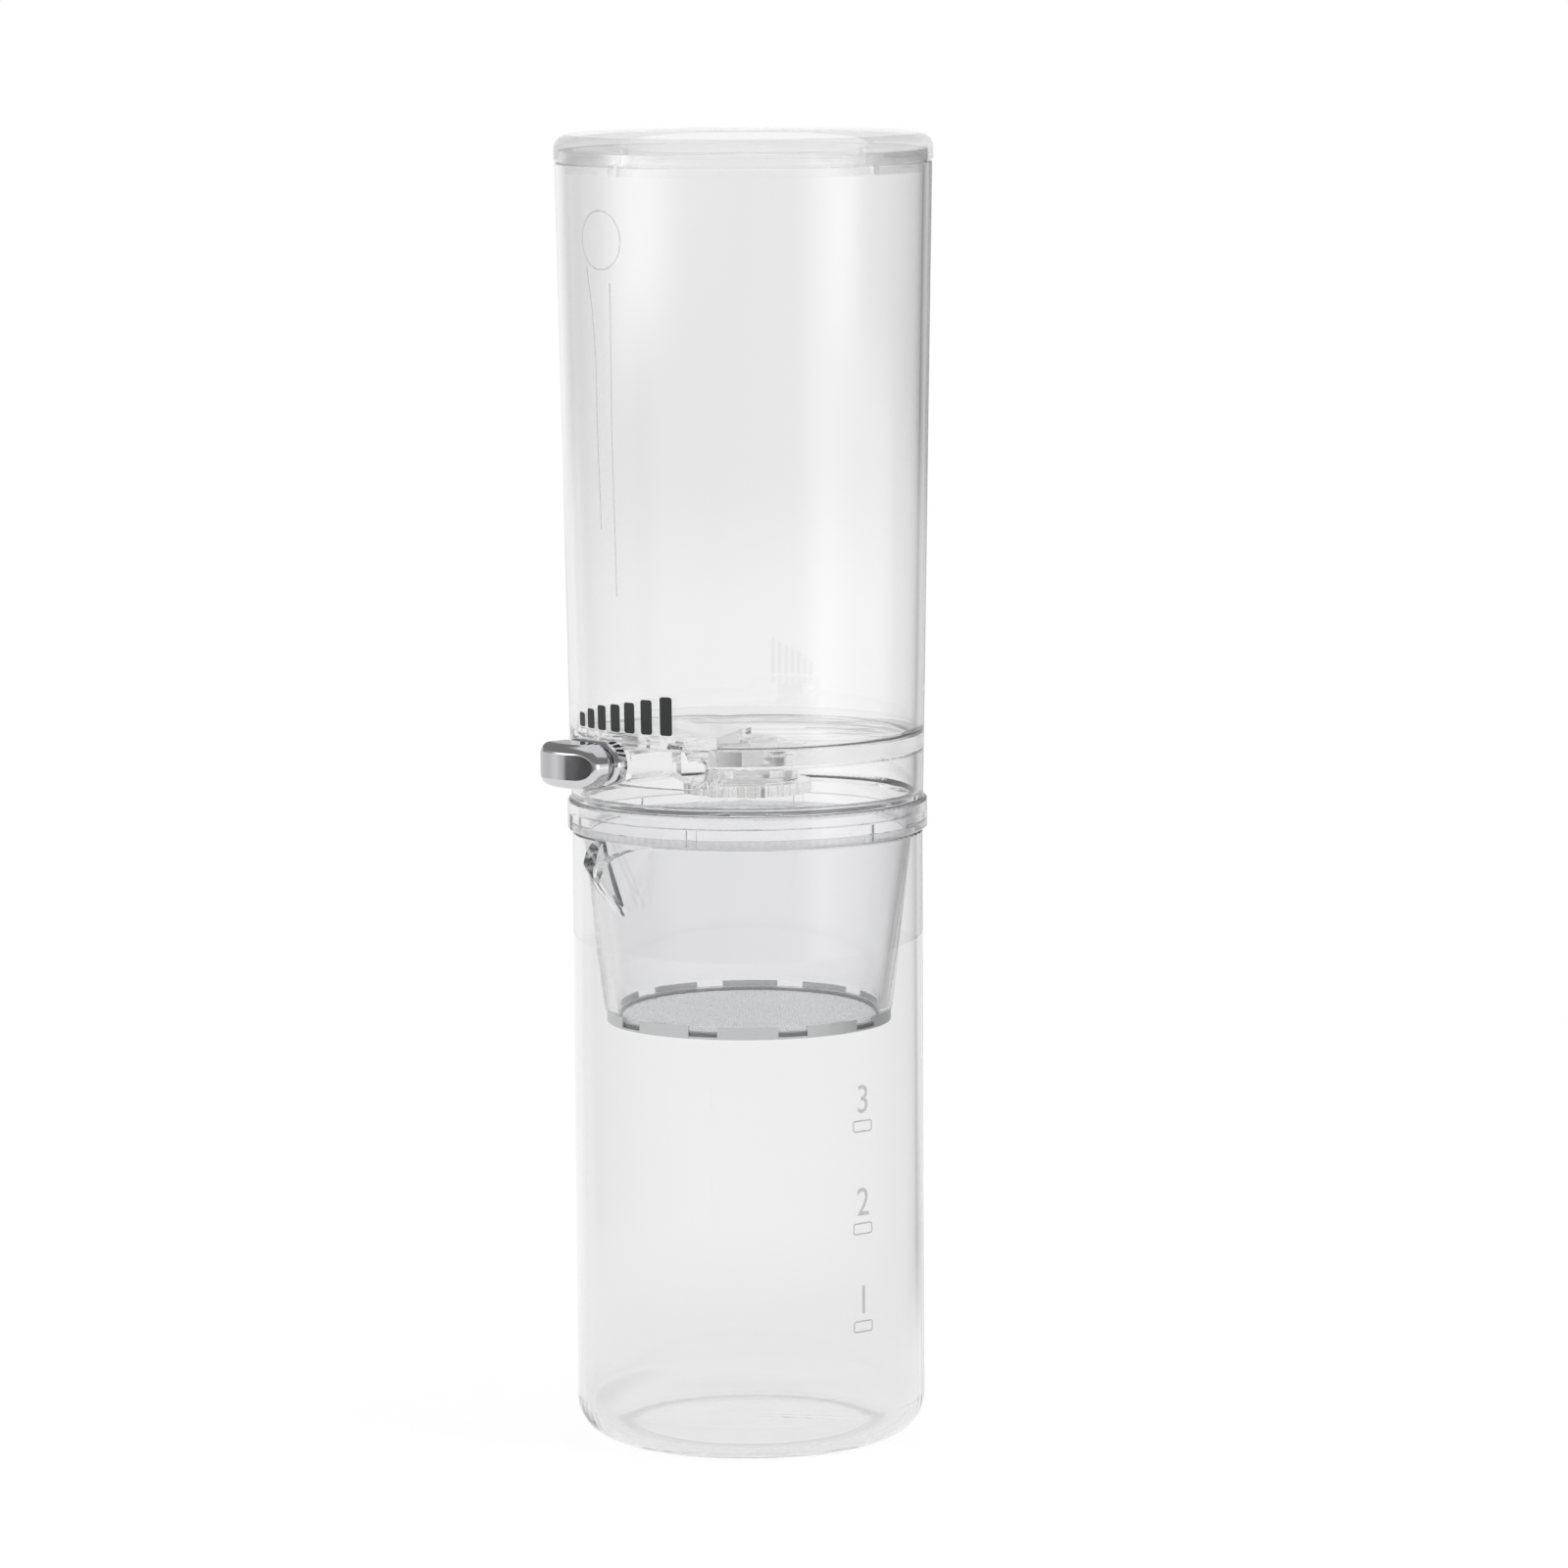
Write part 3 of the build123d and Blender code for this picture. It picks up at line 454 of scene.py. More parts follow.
@dataclass
class Carafe:
    """The glass carafe and the three cup marks fired on it."""

    body: str = "carafe"
    mark_theta: float = 39.6
    mark_heights: tuple[float, ...] = (33.9, 59.2, 85.6)
    box_width: float = 6.0
    box_height: float = 2.7
    box_corner: float = 0.6
    corner_steps: int = 4
    line: float = 0.4
    digit_height: float = 7.2
    digit_gap: float = 3.4
    # Width of a numeral as a share of the typeface's own.
    digit_width: float = 0.86
    print_lift: float = 0.02
    print_thick: float = 0.06

    def build(self) -> None:
        """Dresses the glass and fires the marks on it."""
        dress("carafe_glass", Finish.CARAFE_GLASS.build())
        for count, height in enumerate(self.mark_heights, start=1):
            self.cup_box(f"cup_mark_{count}", height)
            self.cup_digit(f"cup_digit_{count}", str(count), height)

    def cup_box(self, name: str, height: float) -> None:
        """Fires the outline of one mark's box."""
        mesh = bmesh.new()
        r = self.box_corner
        wide, tall = self.box_width / 2 - r, self.box_height / 2 - r
        path = []
        for cx, cy, first in ((wide, tall, 0), (-wide, tall, 90), (-wide, -tall, 180),
                              (wide, -tall, 270)):
            for step in range(self.corner_steps + 1):
                angle = math.radians(first + step * 90 / self.corner_steps)
                path.append((cx + r * math.cos(angle), height + cy + r * math.sin(angle)))
        wrap_bead(mesh, CARAFE_WALL, self.mark_theta, path, self.line, self.print_thick,
                  closed=True)
        place_mesh(name, finished(mesh, name), self.body,
                   Finish.PALE_ENAMEL.build())

    def cup_digit(self, name: str, digit: str, height: float) -> None:
        """Fires one numeral above its box.

        Args:
            name: the piece's name.
            digit: the numeral.
            height: height of the middle of its box, in millimetres.
        """
        text = bpy.data.curves.new(name, "FONT")
        text.body = digit
        text.align_x = "CENTER"
        holder = bpy.data.objects.new(name, text)
        bpy.context.scene.collection.objects.link(holder)
        graph = bpy.context.evaluated_depsgraph_get()
        flat = bpy.data.meshes.new_from_object(holder.evaluated_get(graph))
        bpy.data.objects.remove(holder)
        bpy.data.curves.remove(text)
        ys = [v.co.y for v in flat.vertices]
        xs = [v.co.x for v in flat.vertices]
        faces = [face.vertices[:] for face in flat.polygons]
        edges = [edge for face in flat.polygons for edge in face.edge_keys]
        bpy.data.meshes.remove(flat)
        scale = self.digit_height / (max(ys) - min(ys))
        middle, base = (max(xs) + min(xs)) / 2, min(ys)
        foot = height + self.digit_gap
        mesh = bmesh.new()
        under, over = [
            [mesh.verts.new(CARAFE_WALL.point(
                self.mark_theta, (x - middle) * scale * self.digit_width,
                foot + (y - base) * scale, lift)) for x, y in zip(xs, ys)]
            for lift in (self.print_lift, self.print_lift + self.print_thick)]
        for face in faces:
            mesh.faces.new([over[i] for i in face])
            mesh.faces.new([under[i] for i in reversed(face)])
        for a, b in edges:
            # An edge of only one face is the numeral's outline, so it gets a side.
            if edges.count((a, b)) == 1:
                mesh.faces.new((under[a], under[b], over[b], over[a]))
        place_mesh(name, finished(mesh, name), self.body,
                   Finish.PALE_ENAMEL.build())


@dataclass
class BrewBasket:
    """The clear cone with its collar, and the ring that seals it to the glass."""

    def build(self) -> None:
        """Dresses the basket and its gasket."""
        dress("brew_basket", Finish.BASKET_PLASTIC.build())
        dress("basket_gasket", Finish.SILICONE.build())


@dataclass
class ScreenFilter:
    """The filter under the basket: its ring, rim and seal, and the woven steel screen.

    The real weave has about three wires to the millimetre, finer than a render shows, so the
    wires are drawn as coarse as they need to be to read as a weave.
    """

    body: str = "filter"
    radius: float = 34.9
    pitch: float = 0.75
    wire_radius: float = 0.14
    level: float = 109.25
    sides: int = 3

    def build(self) -> None:
        """Dresses the filter's rings and weaves the screen."""
        dress("filter_ring", Finish.SATIN_STEEL.build())
        # The screen rim's dark steel colour is painted shade.
        dress("screen_rim", Finish.ROLLED_STEEL.build())
        dress("filter_seal", Finish.SILICONE.build())
        screen = self.weave()
        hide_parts("filter_screen")

    def weave(self) -> Object:
        """Weaves warp and weft with a node tree and keeps the result as a plain mesh.

        Returns:
            The woven screen.
        """
        tree = bpy.data.node_groups.new("plain_weave", "GeometryNodeTree")
        tree.is_modifier = True
        sizes = {"Radius": self.radius * MM, "Pitch": self.pitch * MM,
                 "Wire Radius": self.wire_radius * MM, "Level": self.level * MM}
        sockets = {name: tree.interface.new_socket(name=name, in_out="INPUT",
                                                   socket_type="NodeSocketFloat") for name in sizes}
        material_socket = tree.interface.new_socket(name="Finish", in_out="INPUT",
                                                    socket_type="NodeSocketMaterial")
        tree.interface.new_socket(name="Geometry", in_out="OUTPUT",
                                  socket_type="NodeSocketGeometry")
        given = add_node(tree, "NodeGroupInput")
        count = 2 * math.ceil(self.radius / self.pitch) + 1
        runs = [self.wires(tree, given, count, turned, sign)
                for turned, sign in ((False, 1.0), (True, -1.0))]
        both = add_node(tree, "GeometryNodeJoinGeometry")
        for run in runs:
            tree.links.new(run, both.inputs["Geometry"])
        real = add_node(tree, "GeometryNodeRealizeInstances",
                        links={"Geometry": both.outputs["Geometry"]})
        painted = add_node(tree, "GeometryNodeSetMaterial", links={
            "Geometry": real.outputs["Geometry"], "Material": given.outputs["Finish"]})
        add_node(tree, "NodeGroupOutput", links={"Geometry": painted.outputs["Geometry"]})

        seed = bpy.data.objects.new("woven_screen_maker", bpy.data.meshes.new("woven_screen_maker"))
        bpy.context.scene.collection.objects.link(seed)
        modifier = seed.modifiers.new("weave", "NODES")
        modifier.node_group = tree
        for name, value in sizes.items():
            modifier[sockets[name].identifier] = value
        # The wire's near-white colour is painted light.
        modifier[material_socket.identifier] = Finish.DRAWN_WIRE.build()
        seed.update_tag()
        graph = bpy.context.evaluated_depsgraph_get()
        mesh = bpy.data.meshes.new_from_object(seed.evaluated_get(graph))
        seed.modifiers.clear()
        bpy.data.objects.remove(seed)
        return place_mesh("woven_screen", mesh, self.body,
                          Finish.DRAWN_WIRE.build())

    def wires(self, tree: NodeTree, given: Node, count: int, turned: bool,
              sign: float) -> NodeSocket:
        """Lays the wires of one direction, each waving over and under the other's.

        Args:
            tree: the node tree.
            given: its input node.
            count: how many wires fit across.
            turned: False for wires along X, True for wires along Y.
            sign: 1 or -1, so that the two directions wave against each other.

        Returns:
            The socket that carries the wires' mesh.
        """
        span = add_node(tree, "ShaderNodeMath", operation="MULTIPLY",
                        links={0: given.outputs["Pitch"]}, values={1: (count - 1) / 2})
        back = add_node(tree, "ShaderNodeMath", operation="MULTIPLY",
                        links={0: span.outputs[0]}, values={1: -1.0})
        along, across = ("Y", "X") if turned else ("X", "Y")
        first = add_node(tree, "ShaderNodeCombineXYZ", links={along: back.outputs[0]})
        final = add_node(tree, "ShaderNodeCombineXYZ", links={along: span.outputs[0]})
        line = add_node(tree, "GeometryNodeCurvePrimitiveLine",
                        links={"Start": first.outputs[0], "End": final.outputs[0]})
        fine = add_node(tree, "GeometryNodeResampleCurve", links={"Curve": line.outputs["Curve"]},
                        values={"Count": 2 * (count - 1) + 1})
        start = add_node(tree, "ShaderNodeCombineXYZ", links={across: back.outputs[0]})
        step = add_node(tree, "ShaderNodeCombineXYZ", links={across: given.outputs["Pitch"]})
        row = add_node(tree, "GeometryNodeMeshLine", mode="OFFSET", values={"Count": count},
                       links={"Start Location": start.outputs[0], "Offset": step.outputs[0]})
        laid = add_node(tree, "GeometryNodeInstanceOnPoints",
                        links={"Points": row.outputs["Mesh"], "Instance": fine.outputs["Curve"]})
        real = add_node(tree, "GeometryNodeRealizeInstances",
                        links={"Geometry": laid.outputs["Instances"]})
        where = add_node(tree, "GeometryNodeInputPosition")
        parts = add_node(tree, "ShaderNodeSeparateXYZ", links={"Vector": where.outputs[0]})
        waves = []
        for axis in ("X", "Y"):
            turns = add_node(tree, "ShaderNodeMath", operation="DIVIDE",
                             links={0: parts.outputs[axis], 1: given.outputs["Pitch"]})
            angle = add_node(tree, "ShaderNodeMath", operation="MULTIPLY",
                             links={0: turns.outputs[0]}, values={1: math.pi})
            waves.append(add_node(tree, "ShaderNodeMath", operation="COSINE",
                                  links={0: angle.outputs[0]}))
        wave = add_node(tree, "ShaderNodeMath", operation="MULTIPLY",
                        links={0: waves[0].outputs[0], 1: waves[1].outputs[0]})
        signed = add_node(tree, "ShaderNodeMath", operation="MULTIPLY",
                          links={0: wave.outputs[0]}, values={1: sign})
        rise = add_node(tree, "ShaderNodeMath", operation="MULTIPLY_ADD", links={
            0: signed.outputs[0], 1: given.outputs["Wire Radius"], 2: given.outputs["Level"]})
        lift = add_node(tree, "ShaderNodeCombineXYZ", links={"Z": rise.outputs[0]})
        off_axis = add_node(tree, "ShaderNodeVectorMath", operation="LENGTH",
                            links={0: where.outputs[0]})
        outside = add_node(tree, "FunctionNodeCompare", data_type="FLOAT", operation="GREATER_THAN",
                           links={"A": off_axis.outputs["Value"], "B": given.outputs["Radius"]})
        round_cut = add_node(tree, "GeometryNodeDeleteGeometry", domain="POINT", links={
            "Geometry": real.outputs["Geometry"], "Selection": outside.outputs["Result"]})
        waved = add_node(tree, "GeometryNodeSetPosition", links={
            "Geometry": round_cut.outputs["Geometry"], "Offset": lift.outputs[0]})
        profile = add_node(tree, "GeometryNodeCurvePrimitiveCircle",
                           values={"Resolution": self.sides},
                           links={"Radius": given.outputs["Wire Radius"]})
        tube = add_node(tree, "GeometryNodeCurveToMesh", values={"Fill Caps": True}, links={
            "Curve": waved.outputs["Geometry"], "Profile Curve": profile.outputs["Curve"]})
        return tube.outputs["Mesh"]


@dataclass
class WaterTank:
    """The clear tank with its printed flow scale and the outline moulded in its wall."""

    body: str = "tank"
    bar_thetas: tuple[float, ...] = (-66.4, -60.0, -53.6, -46.8, -40.5, -33.7, -26.5)
    bar_heights: tuple[float, ...] = (3.6, 5.0, 6.3, 7.0, 7.8, 8.8, 9.8)
    bar_width: float = 3.4
    bar_corner: float = 0.7
    bar_foot: float = 186.3
    corner_steps: int = 4
    print_lift: float = 0.02
    print_thick: float = 0.06
    outline_theta: float = -49.3
    ring_height: float = 310.2
    ring_radius: float = 7.4
    bead_width: float = 0.45
    bead_height: float = 0.12
    ring_steps: int = 72
    stem_steps: int = 8
    # Angle and height of the stem's two lines, downwards.
    stem_left: tuple[tuple[float, float], ...] = (
        (-56.1, 303.3), (-53.7, 292.6), (-52.5, 281.6), (-52.4, 259.7), (-51.4, 234.2))
    stem_right: tuple[tuple[float, float], ...] = (
        (-45.0, 299.6), (-45.6, 260.9), (-45.2, 239.2), (-44.9, 218.0))

    def build(self) -> None:
        """Dresses the tank and adds its print and its outline."""
        dress("water_tank", Finish.TANK_PLASTIC.build())
        for count, (theta, height) in enumerate(zip(self.bar_thetas, self.bar_heights), start=1):
            self.flow_bar(f"flow_bar_{count}", theta, height)
        self.moulded_outline()

    def flow_bar(self, name: str, theta: float, height: float) -> None:
        """Prints one bar of the scale, with rounded corners."""
        half, r = self.bar_width / 2, self.bar_corner
        rows = []
        for step in range(self.corner_steps + 1):
            angle = math.radians(90 * (1 - step / self.corner_steps))
            rows.append((r * (1 - math.sin(angle)), half - r + r * math.cos(angle)))
        rows += [(height - low, wide) for low, wide in reversed(rows)]
        rows = [(self.bar_foot + low, wide) for low, wide in rows]
        mesh = bmesh.new()
        wrap_plate(mesh, TANK_WALL, theta, rows, self.print_lift, self.print_thick)
        place_mesh(name, finished(mesh, name), self.body, Finish.BLACK_INK.build())

    def moulded_outline(self) -> None:
        """Raises the fine outline, a ring with a long stem, on the tank's left wall."""
        mesh = bmesh.new()
        turns = [2 * math.pi * k / self.ring_steps for k in range(self.ring_steps)]
        ring = [(self.ring_radius * math.cos(turn),
                 self.ring_height + self.ring_radius * math.sin(turn)) for turn in turns]
        wrap_bead(mesh, TANK_WALL, self.outline_theta, ring, self.bead_width, self.bead_height,
                  closed=True)
        for line in (self.stem_left, self.stem_right):
            path = []
            for (t0, z0), (t1, z1) in zip(line, line[1:]):
                for k in range(self.stem_steps):
                    share = k / self.stem_steps
                    theta, level = t0 + (t1 - t0) * share, z0 + (z1 - z0) * share
                    turn = math.radians(theta - self.outline_theta)
                    path.append((turn * TANK_WALL.radius(level), level))
            wrap_bead(mesh, TANK_WALL, self.outline_theta, path, self.bead_width, self.bead_height)
        place_mesh("moulded_outline", finished(mesh, "moulded_outline", smooth=True), self.body,
                   Finish.LID_PLASTIC.build())


@dataclass
class DripValve:
    """The metering valve under the tank's floor."""

    finishes: dict[str, Finish] = field(default_factory=lambda: {
        "valve_seat": Finish.SILICONE, "valve_spindle": Finish.ACETAL,
        "spindle_cap": Finish.VALVE_PLASTIC, "o_ring_lower": Finish.SILICONE,
        "o_ring_upper": Finish.SILICONE, "disc_spring": Finish.SPRING_STEEL,
        "drip_nozzle": Finish.VALVE_PLASTIC,
    })

    def build(self) -> None:
        """Dresses the valve's pieces."""
        for node, finish in self.finishes.items():
            dress(node, finish.build())


@dataclass
class Lever:
    """The clear arm, its stud and the polished knob."""

    def build(self) -> None:
        """Dresses the lever's pieces."""
        dress("lever_arm", Finish.TANK_PLASTIC.build())
        dress("lever_knob", Finish.POLISHED_STEEL.build())
        dress("knob_stud", Finish.SATIN_STEEL.build())


@dataclass
class Lid:
    """The flat clear lid."""

    def build(self) -> None:
        """Dresses the lid."""
        dress("lid", Finish.LID_PLASTIC.build())


# --- Studio -----------------------------------------------------------------------------------


@dataclass
class Studio:
    """Pale floor, soft lamps, surroundings and camera. Lengths here are metres.

    A ring is a row of angles round the tower with the brightness met there. A height of direction
    is its Z: -1 straight down, 0 level and 1 straight up.
    """

    distance: float = 1.8576
    eye_height: float = 0.4026
    # Degrees that the camera looks down, to the right and leans over.
    pitch: float = 7.173
    turn: float = 0.29
    roll: float = 0.341
    # Millimetres, as lenses and sensors are sold.
    lens: float = 167.26
    sensor: float = 36.0
    # Angle, half width, lower and upper edge, distance and radiance of each soft lamp.
    lamps: tuple[tuple[float, float, float, float, float, float], ...] = (
        (-67.0, 0.11, 0.045, 1.25, 1.15, 3.2), (61.0, 0.12, -0.15, 1.25, 1.15, 3.2))
    # What polished and clear faces reflect: level with the tank, where two wide soft boxes stand
    # left and right of the front, and lower down.
    level_ring: tuple[tuple[float, float], ...] = (
        (-180, 0.95), (-158, 1.0), (-136, 0.3), (-108, 0.5), (-69, 3.4), (-30, 0.6), (0, 0.36),
        (28, 0.6), (61, 3.2), (88, 0.5), (105, 0.15), (140, 0.08), (164, 0.12), (173, 0.9),
        (180, 0.95))
    low_ring: tuple[tuple[float, float], ...] = (
        (-180, 0.8), (-120, 0.75), (-95, 0.9), (-78, 0.6), (-66, 0.1), (-22, 0.08), (0, 0.3),
        (30, 0.6), (52, 2.2), (78, 1.4), (92, 1.3), (112, 0.4), (140, 0.3), (180, 0.8))
    # Brightness that they reflect from over the soft boxes and under the white ceiling.
    upper: float = 0.25
    # What is seen bent through them: the walls of the studio, and what the floor gives off.
    through_ring: tuple[tuple[float, float], ...] = (
        (-180, 0.84), (-160, 0.84), (-135, 0.8), (-110, 0.95), (-60, 0.9), (0, 0.85), (55, 0.9),
        (85, 0.4), (112, 0.12), (140, 0.15), (164, 0.84), (180, 0.84))
    floor_ring: tuple[tuple[float, float], ...] = (
        (-180, 0.48), (-155, 0.46), (-130, 0.4), (-95, 0.42), (-45, 0.48), (40, 0.48), (75, 0.25),
        (105, 0.0), (142, 0.0), (163, 0.44), (180, 0.48))
    # Brightest stop of all the rings, since a colour ramp holds no more than 1.
    ring_peak: float = 3.4
    # Heights of direction between which the lower ring, the part over the soft boxes and the white
    # ceiling come in, the ceiling lower down for what is bent through.
    low_span: tuple[float, float] = (-0.08, -0.105)
    upper_span: tuple[float, float] = (0.03, 0.2)
    ceiling_span: tuple[float, float] = (0.8, 0.98)
    through_ceiling_span: tuple[float, float] = (0.3, 0.7)
    # What the world takes off its white where it lights matt faces.
    matt_loss: float = 0.15
    floor_radius: float = 0.9
    floor_sides: int = 96
    # How far under the carafe's foot it lies, so that the two don't share a plane.
    floor_drop: float = 0.0002
    # The floor's own glow to the eye, and its paper's grey; together they come to white.
    floor_glow: float = 0.62
    paper: float = 0.42
    # What the floor gives off near the tower, and how far off its ring takes over.
    floor_even: float = 0.41
    even_span: tuple[float, float] = (0.1, 0.3)
    # What the paper adds to that by the light that falls on it.
    floor_lit: float = 0.45
    # Where the carafe's foot stands, the half width over which the painted contact shadow round it
    # fades, and the light left in it;
    # the glass shows that painted shadow line from above, and it is painted stronger at the back
    # than in front.
    foot_radius: float = 0.033
    foot_fade: tuple[float, float] = (0.0035, 0.0005)
    foot_light: float = 0.2
    foot_span: tuple[float, float] = (-0.02, 0.02)
    foot_front: float = 0.3
    # Light crosses up to a dozen clear walls here and runs along inside their edges, so it may bend
    # and turn back more often than by default.
    bounces: int = 200
    clear_layers: int = 32

    def build(self) -> None:
        """Sets up everything round the object."""
        self.floor()
        self.world()
        for index, lamp in enumerate(self.lamps, start=1):
            self.lamp(index, *lamp)
        self.camera()
        cycles = bpy.context.scene.cycles
        cycles.max_bounces = cycles.transmission_bounces = cycles.glossy_bounces = self.bounces
        cycles.transparent_max_bounces = self.clear_layers
        cycles.blur_glossy = 0.0

    def floor(self) -> None:
        """Lays the floor, white to the eye and shaded where the object stands, with a painted
        shadow ring round the carafe's foot.
        """
        mesh = bmesh.new()
        bmesh.ops.create_circle(mesh, cap_ends=True, segments=self.floor_sides,
                                radius=self.floor_radius,
                                matrix=Matrix.Translation((0, 0, -self.floor_drop)))
        data = bpy.data.meshes.new("floor")
        mesh.to_mesh(data)
        mesh.free()
        material, tree, place = fresh_material("matt_white_paper")
        ray = add_node(tree, "ShaderNodeLightPath")
        seen = add_node(tree, "ShaderNodeMath", operation="MAXIMUM",
                        links={0: ray.outputs["Is Camera Ray"], 1: ray.outputs["Is Glossy Ray"]})
        shown = add_node(tree, "ShaderNodeMath", operation="MULTIPLY",
                         links={0: seen.outputs[0]}, values={1: self.floor_glow})
        off = add_node(tree, "ShaderNodeVectorMath", operation="LENGTH", links={0: place})
        away = add_node(tree, "ShaderNodeMapRange", interpolation_type="SMOOTHSTEP",
                        links={"Value": off.outputs["Value"]},
                        values={"From Min": self.even_span[0], "From Max": self.even_span[1]})
        round_about = self.ring(tree, self.bearing(tree, place), self.floor_ring)
        open_floor = add_node(tree, "ShaderNodeMix", values={2: self.floor_even},
                              links={0: away.outputs["Result"], 3: round_about})
        # Painted shadow: the floor's glow to bent rays is darkened in a ring round the carafe's
        # foot.
        foot_line = self.foot_line(tree, place, off.outputs["Value"])
        bent = add_node(tree, "ShaderNodeMath", operation="MULTIPLY",
                        links={0: open_floor.outputs[0], 1: foot_line})
        strength = add_node(tree, "ShaderNodeMix", links={
            0: ray.outputs["Is Transmission Ray"], 2: shown.outputs[0], 3: bent.outputs[0]})
        paper = add_node(tree, "ShaderNodeBsdfDiffuse", values={"Color": (*(self.paper,) * 3, 1.0)})
        glow = add_node(tree, "ShaderNodeEmission", links={"Strength": strength.outputs[0]})
        both = add_node(tree, "ShaderNodeAddShader",
                        links={0: paper.outputs[0], 1: glow.outputs[0]})
        add_node(tree, "ShaderNodeOutputMaterial", links={"Surface": both.outputs[0]})
        data.materials.append(material)
        floor = bpy.data.objects.new("floor", data)
        bpy.context.scene.collection.objects.link(floor)

    def foot_line(self, tree: NodeTree, place: NodeSocket, off: NodeSocket) -> NodeSocket:
        """Adds a painted contact shadow: a dark line in the floor's glow where the carafe's foot
        touches the floor.

        Args:
            tree: the floor's node tree.
            place: the socket that gives the place on the floor.
            off: the socket that gives its distance from the tower's axis.

        Returns:
            The socket that gives the share of light left at that place.
        """
        from_foot = add_node(tree, "ShaderNodeMath", operation="SUBTRACT", links={0: off},
                             values={1: self.foot_radius})
        aside = add_node(tree, "ShaderNodeMath", operation="ABSOLUTE",
                         links={0: from_foot.outputs[0]})
        # Painted contact shadow: the glow drops to the light left in it within the half width round
        # the foot.
        contact_shadow = add_node(tree, "ShaderNodeMapRange", interpolation_type="SMOOTHSTEP",
                         links={"Value": aside.outputs[0]},
                         values={"From Min": self.foot_fade[0], "From Max": self.foot_fade[1],
                                 "To Min": 1.0, "To Max": self.foot_light})
        parts = add_node(tree, "ShaderNodeSeparateXYZ", links={"Vector": place})
        behind = add_node(tree, "ShaderNodeMapRange", interpolation_type="SMOOTHSTEP",
                          links={"Value": parts.outputs["Y"]},
                          values={"From Min": self.foot_span[0], "From Max": self.foot_span[1],
                                  "To Min": self.foot_front})
        line = add_node(tree, "ShaderNodeMix", values={2: 1.0},
                        links={0: behind.outputs["Result"], 3: contact_shadow.outputs["Result"]})
        return line.outputs[0]

    def world(self) -> None:
        """Surrounds the object: white where it is looked at, a studio in and through its faces."""
        world = bpy.data.worlds.new("studio")
        bpy.context.scene.world = world
        world.use_nodes = True
        tree = world.node_tree
        tree.nodes.clear()
        toward = add_node(tree, "ShaderNodeTexCoord").outputs["Generated"]
        height = add_node(tree, "ShaderNodeSeparateXYZ", links={"Vector": toward}).outputs["Z"]
        share = self.bearing(tree, toward)
        low, up, top, above = [
            add_node(tree, "ShaderNodeMapRange", interpolation_type="SMOOTHSTEP",
                     links={"Value": height},
                     values={"From Min": start, "From Max": end}).outputs["Result"]
            for start, end in (self.low_span, self.upper_span, self.ceiling_span,
                               self.through_ceiling_span)]
        level_ring, low_ring, through_ring, floor_ring = [
            self.ring(tree, share, levels)
            for levels in (self.level_ring, self.low_ring, self.through_ring, self.floor_ring)]
        boxes = add_node(tree, "ShaderNodeMix", links={0: low, 2: level_ring, 3: low_ring})
        reflected = add_node(tree, "ShaderNodeMix", values={3: self.upper},
                             links={0: up, 2: boxes.outputs[0]})
        far_floor = add_node(tree, "ShaderNodeMath", operation="ADD", links={0: floor_ring},
                             values={1: self.floor_lit})
        through = add_node(tree, "ShaderNodeMix",
                           links={0: low, 2: through_ring, 3: far_floor.outputs[0]})
        ray = add_node(tree, "ShaderNodeLightPath")
        bent = ray.outputs["Is Transmission Ray"]
        walls = add_node(tree, "ShaderNodeMix",
                         links={0: bent, 2: reflected.outputs[0], 3: through.outputs[0]})
        ceiling = add_node(tree, "ShaderNodeMix", links={0: bent, 2: top, 3: above})
        studio = add_node(tree, "ShaderNodeMix", values={3: 1.0},
                          links={0: ceiling.outputs[0], 2: walls.outputs[0]})
        seen = add_node(tree, "ShaderNodeMix", values={2: 1.0},
                        links={0: ray.outputs["Is Glossy Ray"], 3: studio.outputs[0]})
        level = add_node(tree, "ShaderNodeMath", operation="MULTIPLY_ADD",
                         links={0: ray.outputs["Is Diffuse Ray"], 2: seen.outputs[0]},
                         values={1: -self.matt_loss})
        sky = add_node(tree, "ShaderNodeBackground", links={"Strength": level.outputs[0]},
                       values={"Color": (1.0, 1.0, 1.0, 1.0)})
        add_node(tree, "ShaderNodeOutputWorld", links={"Surface": sky.outputs[0]})

    def bearing(self, tree: NodeTree, where: NodeSocket) -> Node:
        """Adds the angle round the tower of a place or direction.

        Args:
            tree: the node tree.
            where: the socket that gives the place or direction.

        Returns:
            The node whose result runs from 0 at the back, over the left, front and right, to 1.
        """
        parts = add_node(tree, "ShaderNodeSeparateXYZ", links={"Vector": where})
        front = add_node(tree, "ShaderNodeMath", operation="MULTIPLY",
                         links={0: parts.outputs["Y"]}, values={1: -1.0})
        angle = add_node(tree, "ShaderNodeMath", operation="ARCTAN2",
                         links={0: parts.outputs["X"], 1: front.outputs[0]})
        return add_node(tree, "ShaderNodeMapRange", links={"Value": angle.outputs[0]},
                        values={"From Min": -math.pi, "From Max": math.pi})

    def ring(self, tree: NodeTree, share: Node,
             levels: tuple[tuple[float, float], ...]) -> NodeSocket:
        """Adds a soft-edged band of brightness round the tower.

        Args:
            tree: the node tree.
            share: the node that gives the angle, from 0 to 1.
            levels: angle and brightness of each stop.

        Returns:
            The socket that gives its brightness.
        """
        ramp = add_node(tree, "ShaderNodeValToRGB", links={"Fac": share.outputs["Result"]})
        ramp.color_ramp.interpolation = "EASE"
        stops = ramp.color_ramp.elements
        for index, (theta, level) in enumerate(levels):
            where = (theta + 180) / 360
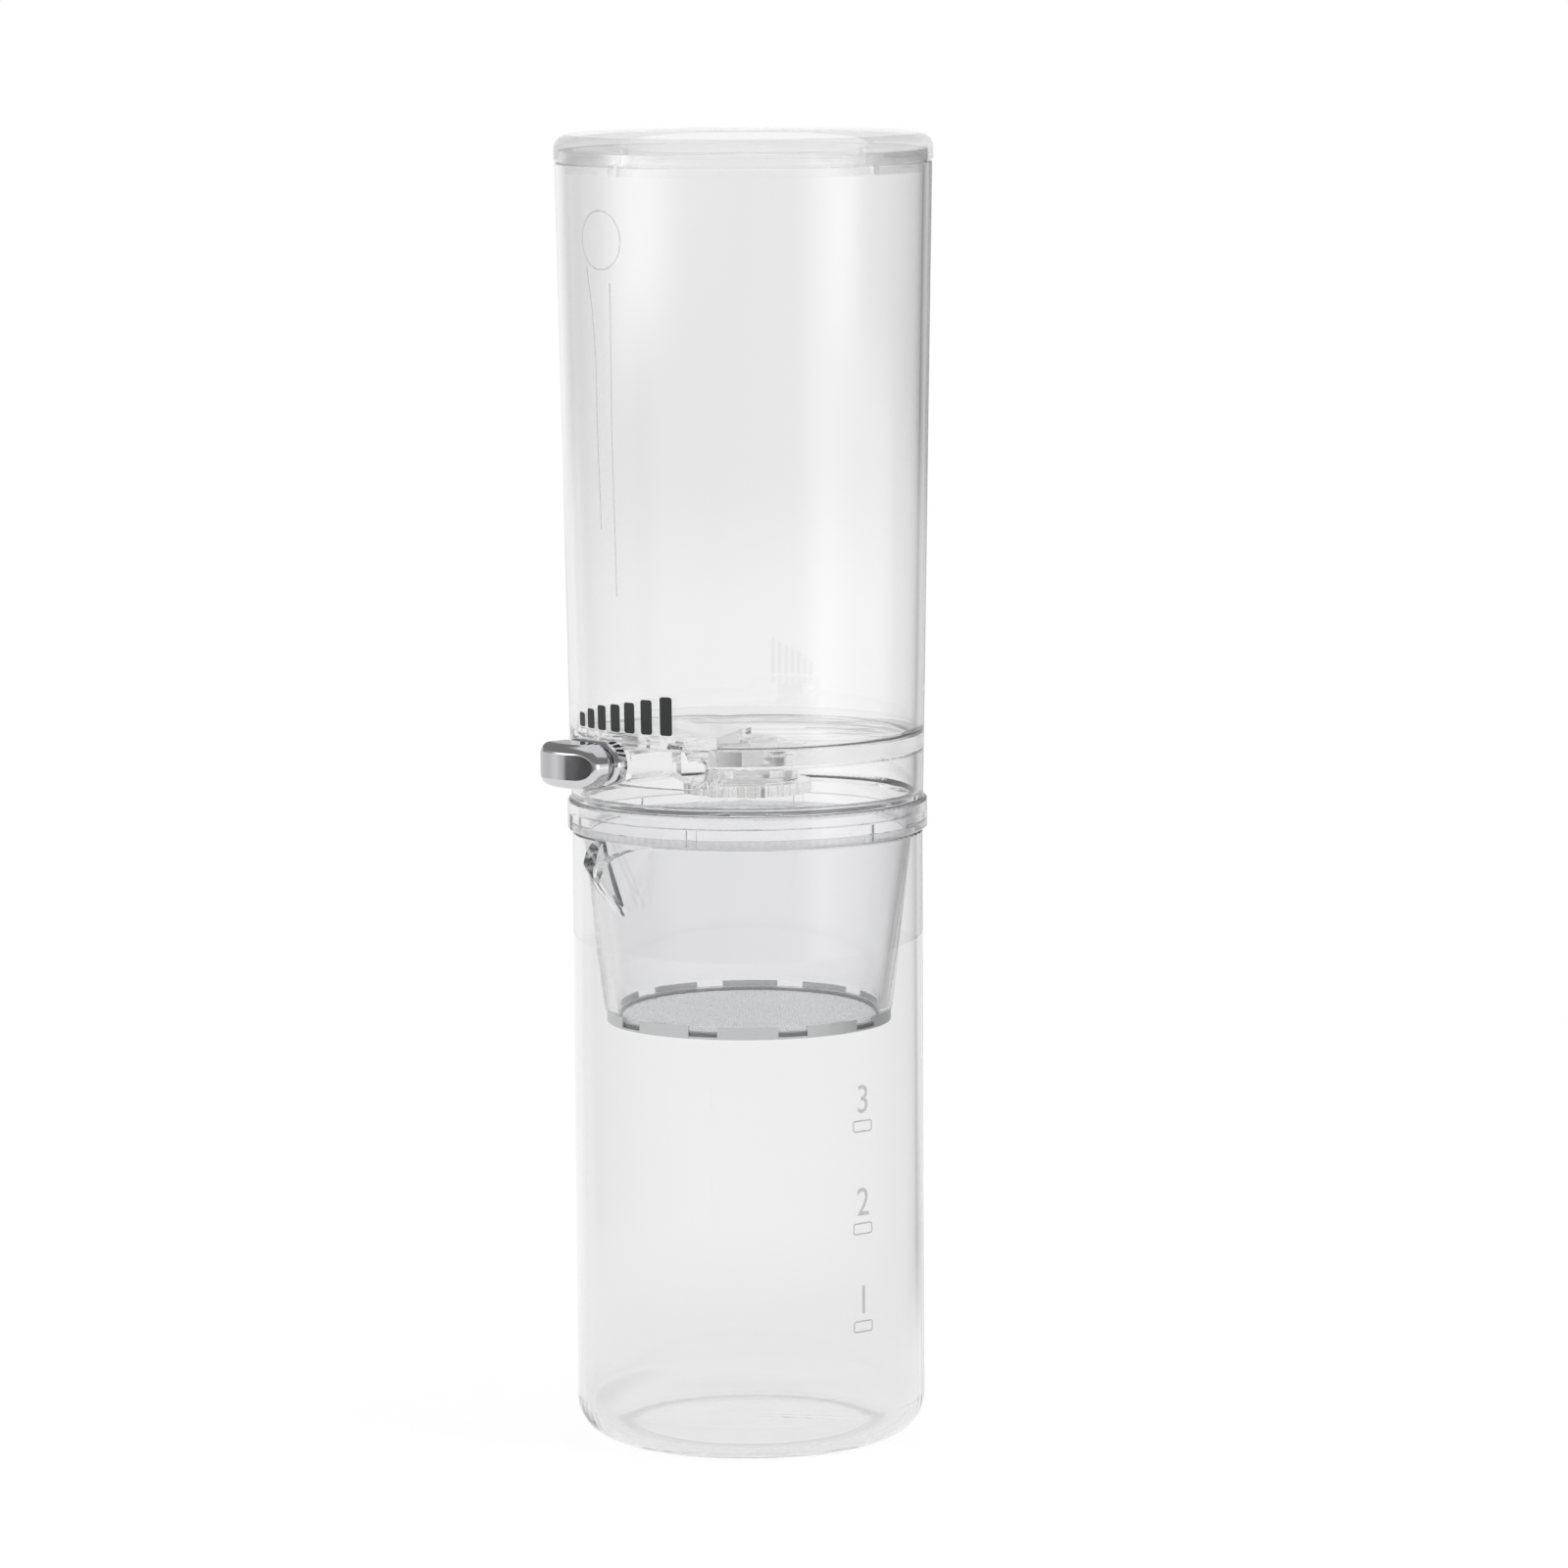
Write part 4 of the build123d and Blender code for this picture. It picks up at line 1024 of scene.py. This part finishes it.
            # A new ramp has two stops already.
            stop = stops[index] if index < 2 else stops.new(where)
            stop.position = where
            stop.color = (*(level / self.ring_peak,) * 3, 1.0)
        scaled = add_node(tree, "ShaderNodeMath", operation="MULTIPLY",
                          links={0: ramp.outputs["Color"]}, values={1: self.ring_peak})
        return scaled.outputs[0]

    def lamp(self, index: int, theta: float, half_width: float, low: float, high: float,
             distance: float, radiance: float) -> None:
        """Hangs one tall soft lamp that faces the object.

        Args:
            index: its number.
            theta: its angle round the tower.
            half_width: half its width.
            low: height of its lower edge.
            high: height of its upper edge.
            distance: distance from the tower.
            radiance: brightness of its face.
        """
        data = bpy.data.lights.new(f"soft_lamp_{index}", "AREA")
        data.shape = "RECTANGLE"
        data.size = 2 * half_width
        data.size_y = high - low
        data.energy = radiance * math.pi * data.size * data.size_y
        lamp = bpy.data.objects.new(f"soft_lamp_{index}", data)
        spot = round_the_tower(theta, distance / MM, 0.0)
        lamp.location = (spot.x, spot.y, (low + high) / 2)
        lamp.rotation_euler = spot.to_track_quat("Z", "Y").to_euler()
        # The rings show the soft boxes; the lamps themselves only light the matt faces.
        lamp.visible_camera = False
        lamp.visible_transmission = False
        lamp.visible_glossy = False
        bpy.context.scene.collection.objects.link(lamp)

    def camera(self) -> None:
        """Stands the camera in front, a little above the lid, aimed at the tower's middle."""
        data = bpy.data.cameras.new("camera")
        data.sensor_width = self.sensor
        data.lens = self.lens
        camera = bpy.data.objects.new("camera", data)
        camera.location = (0.0, -self.distance, self.eye_height)
        heading = Quaternion((0, 0, 1), math.radians(-self.turn))
        tilt = Quaternion((1, 0, 0), math.radians(90 - self.pitch))
        roll = Quaternion((0, 0, 1), math.radians(-self.roll))
        camera.rotation_mode = "QUATERNION"
        camera.rotation_quaternion = heading @ tilt @ roll
        bpy.context.scene.collection.objects.link(camera)
        bpy.context.scene.camera = camera


def main() -> None:
    """Loads the frame, builds each sub-assembly and the studio."""
    logging.basicConfig(level=logging.INFO, format="%(name)s: %(message)s")
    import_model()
    for part in (Carafe(), BrewBasket(), ScreenFilter(), WaterTank(), DripValve(), Lever(), Lid()):
        part.build()
    Studio().build()
    bpy.context.scene.view_settings.view_transform = "Standard"


if __name__ == "__main__":
    main()
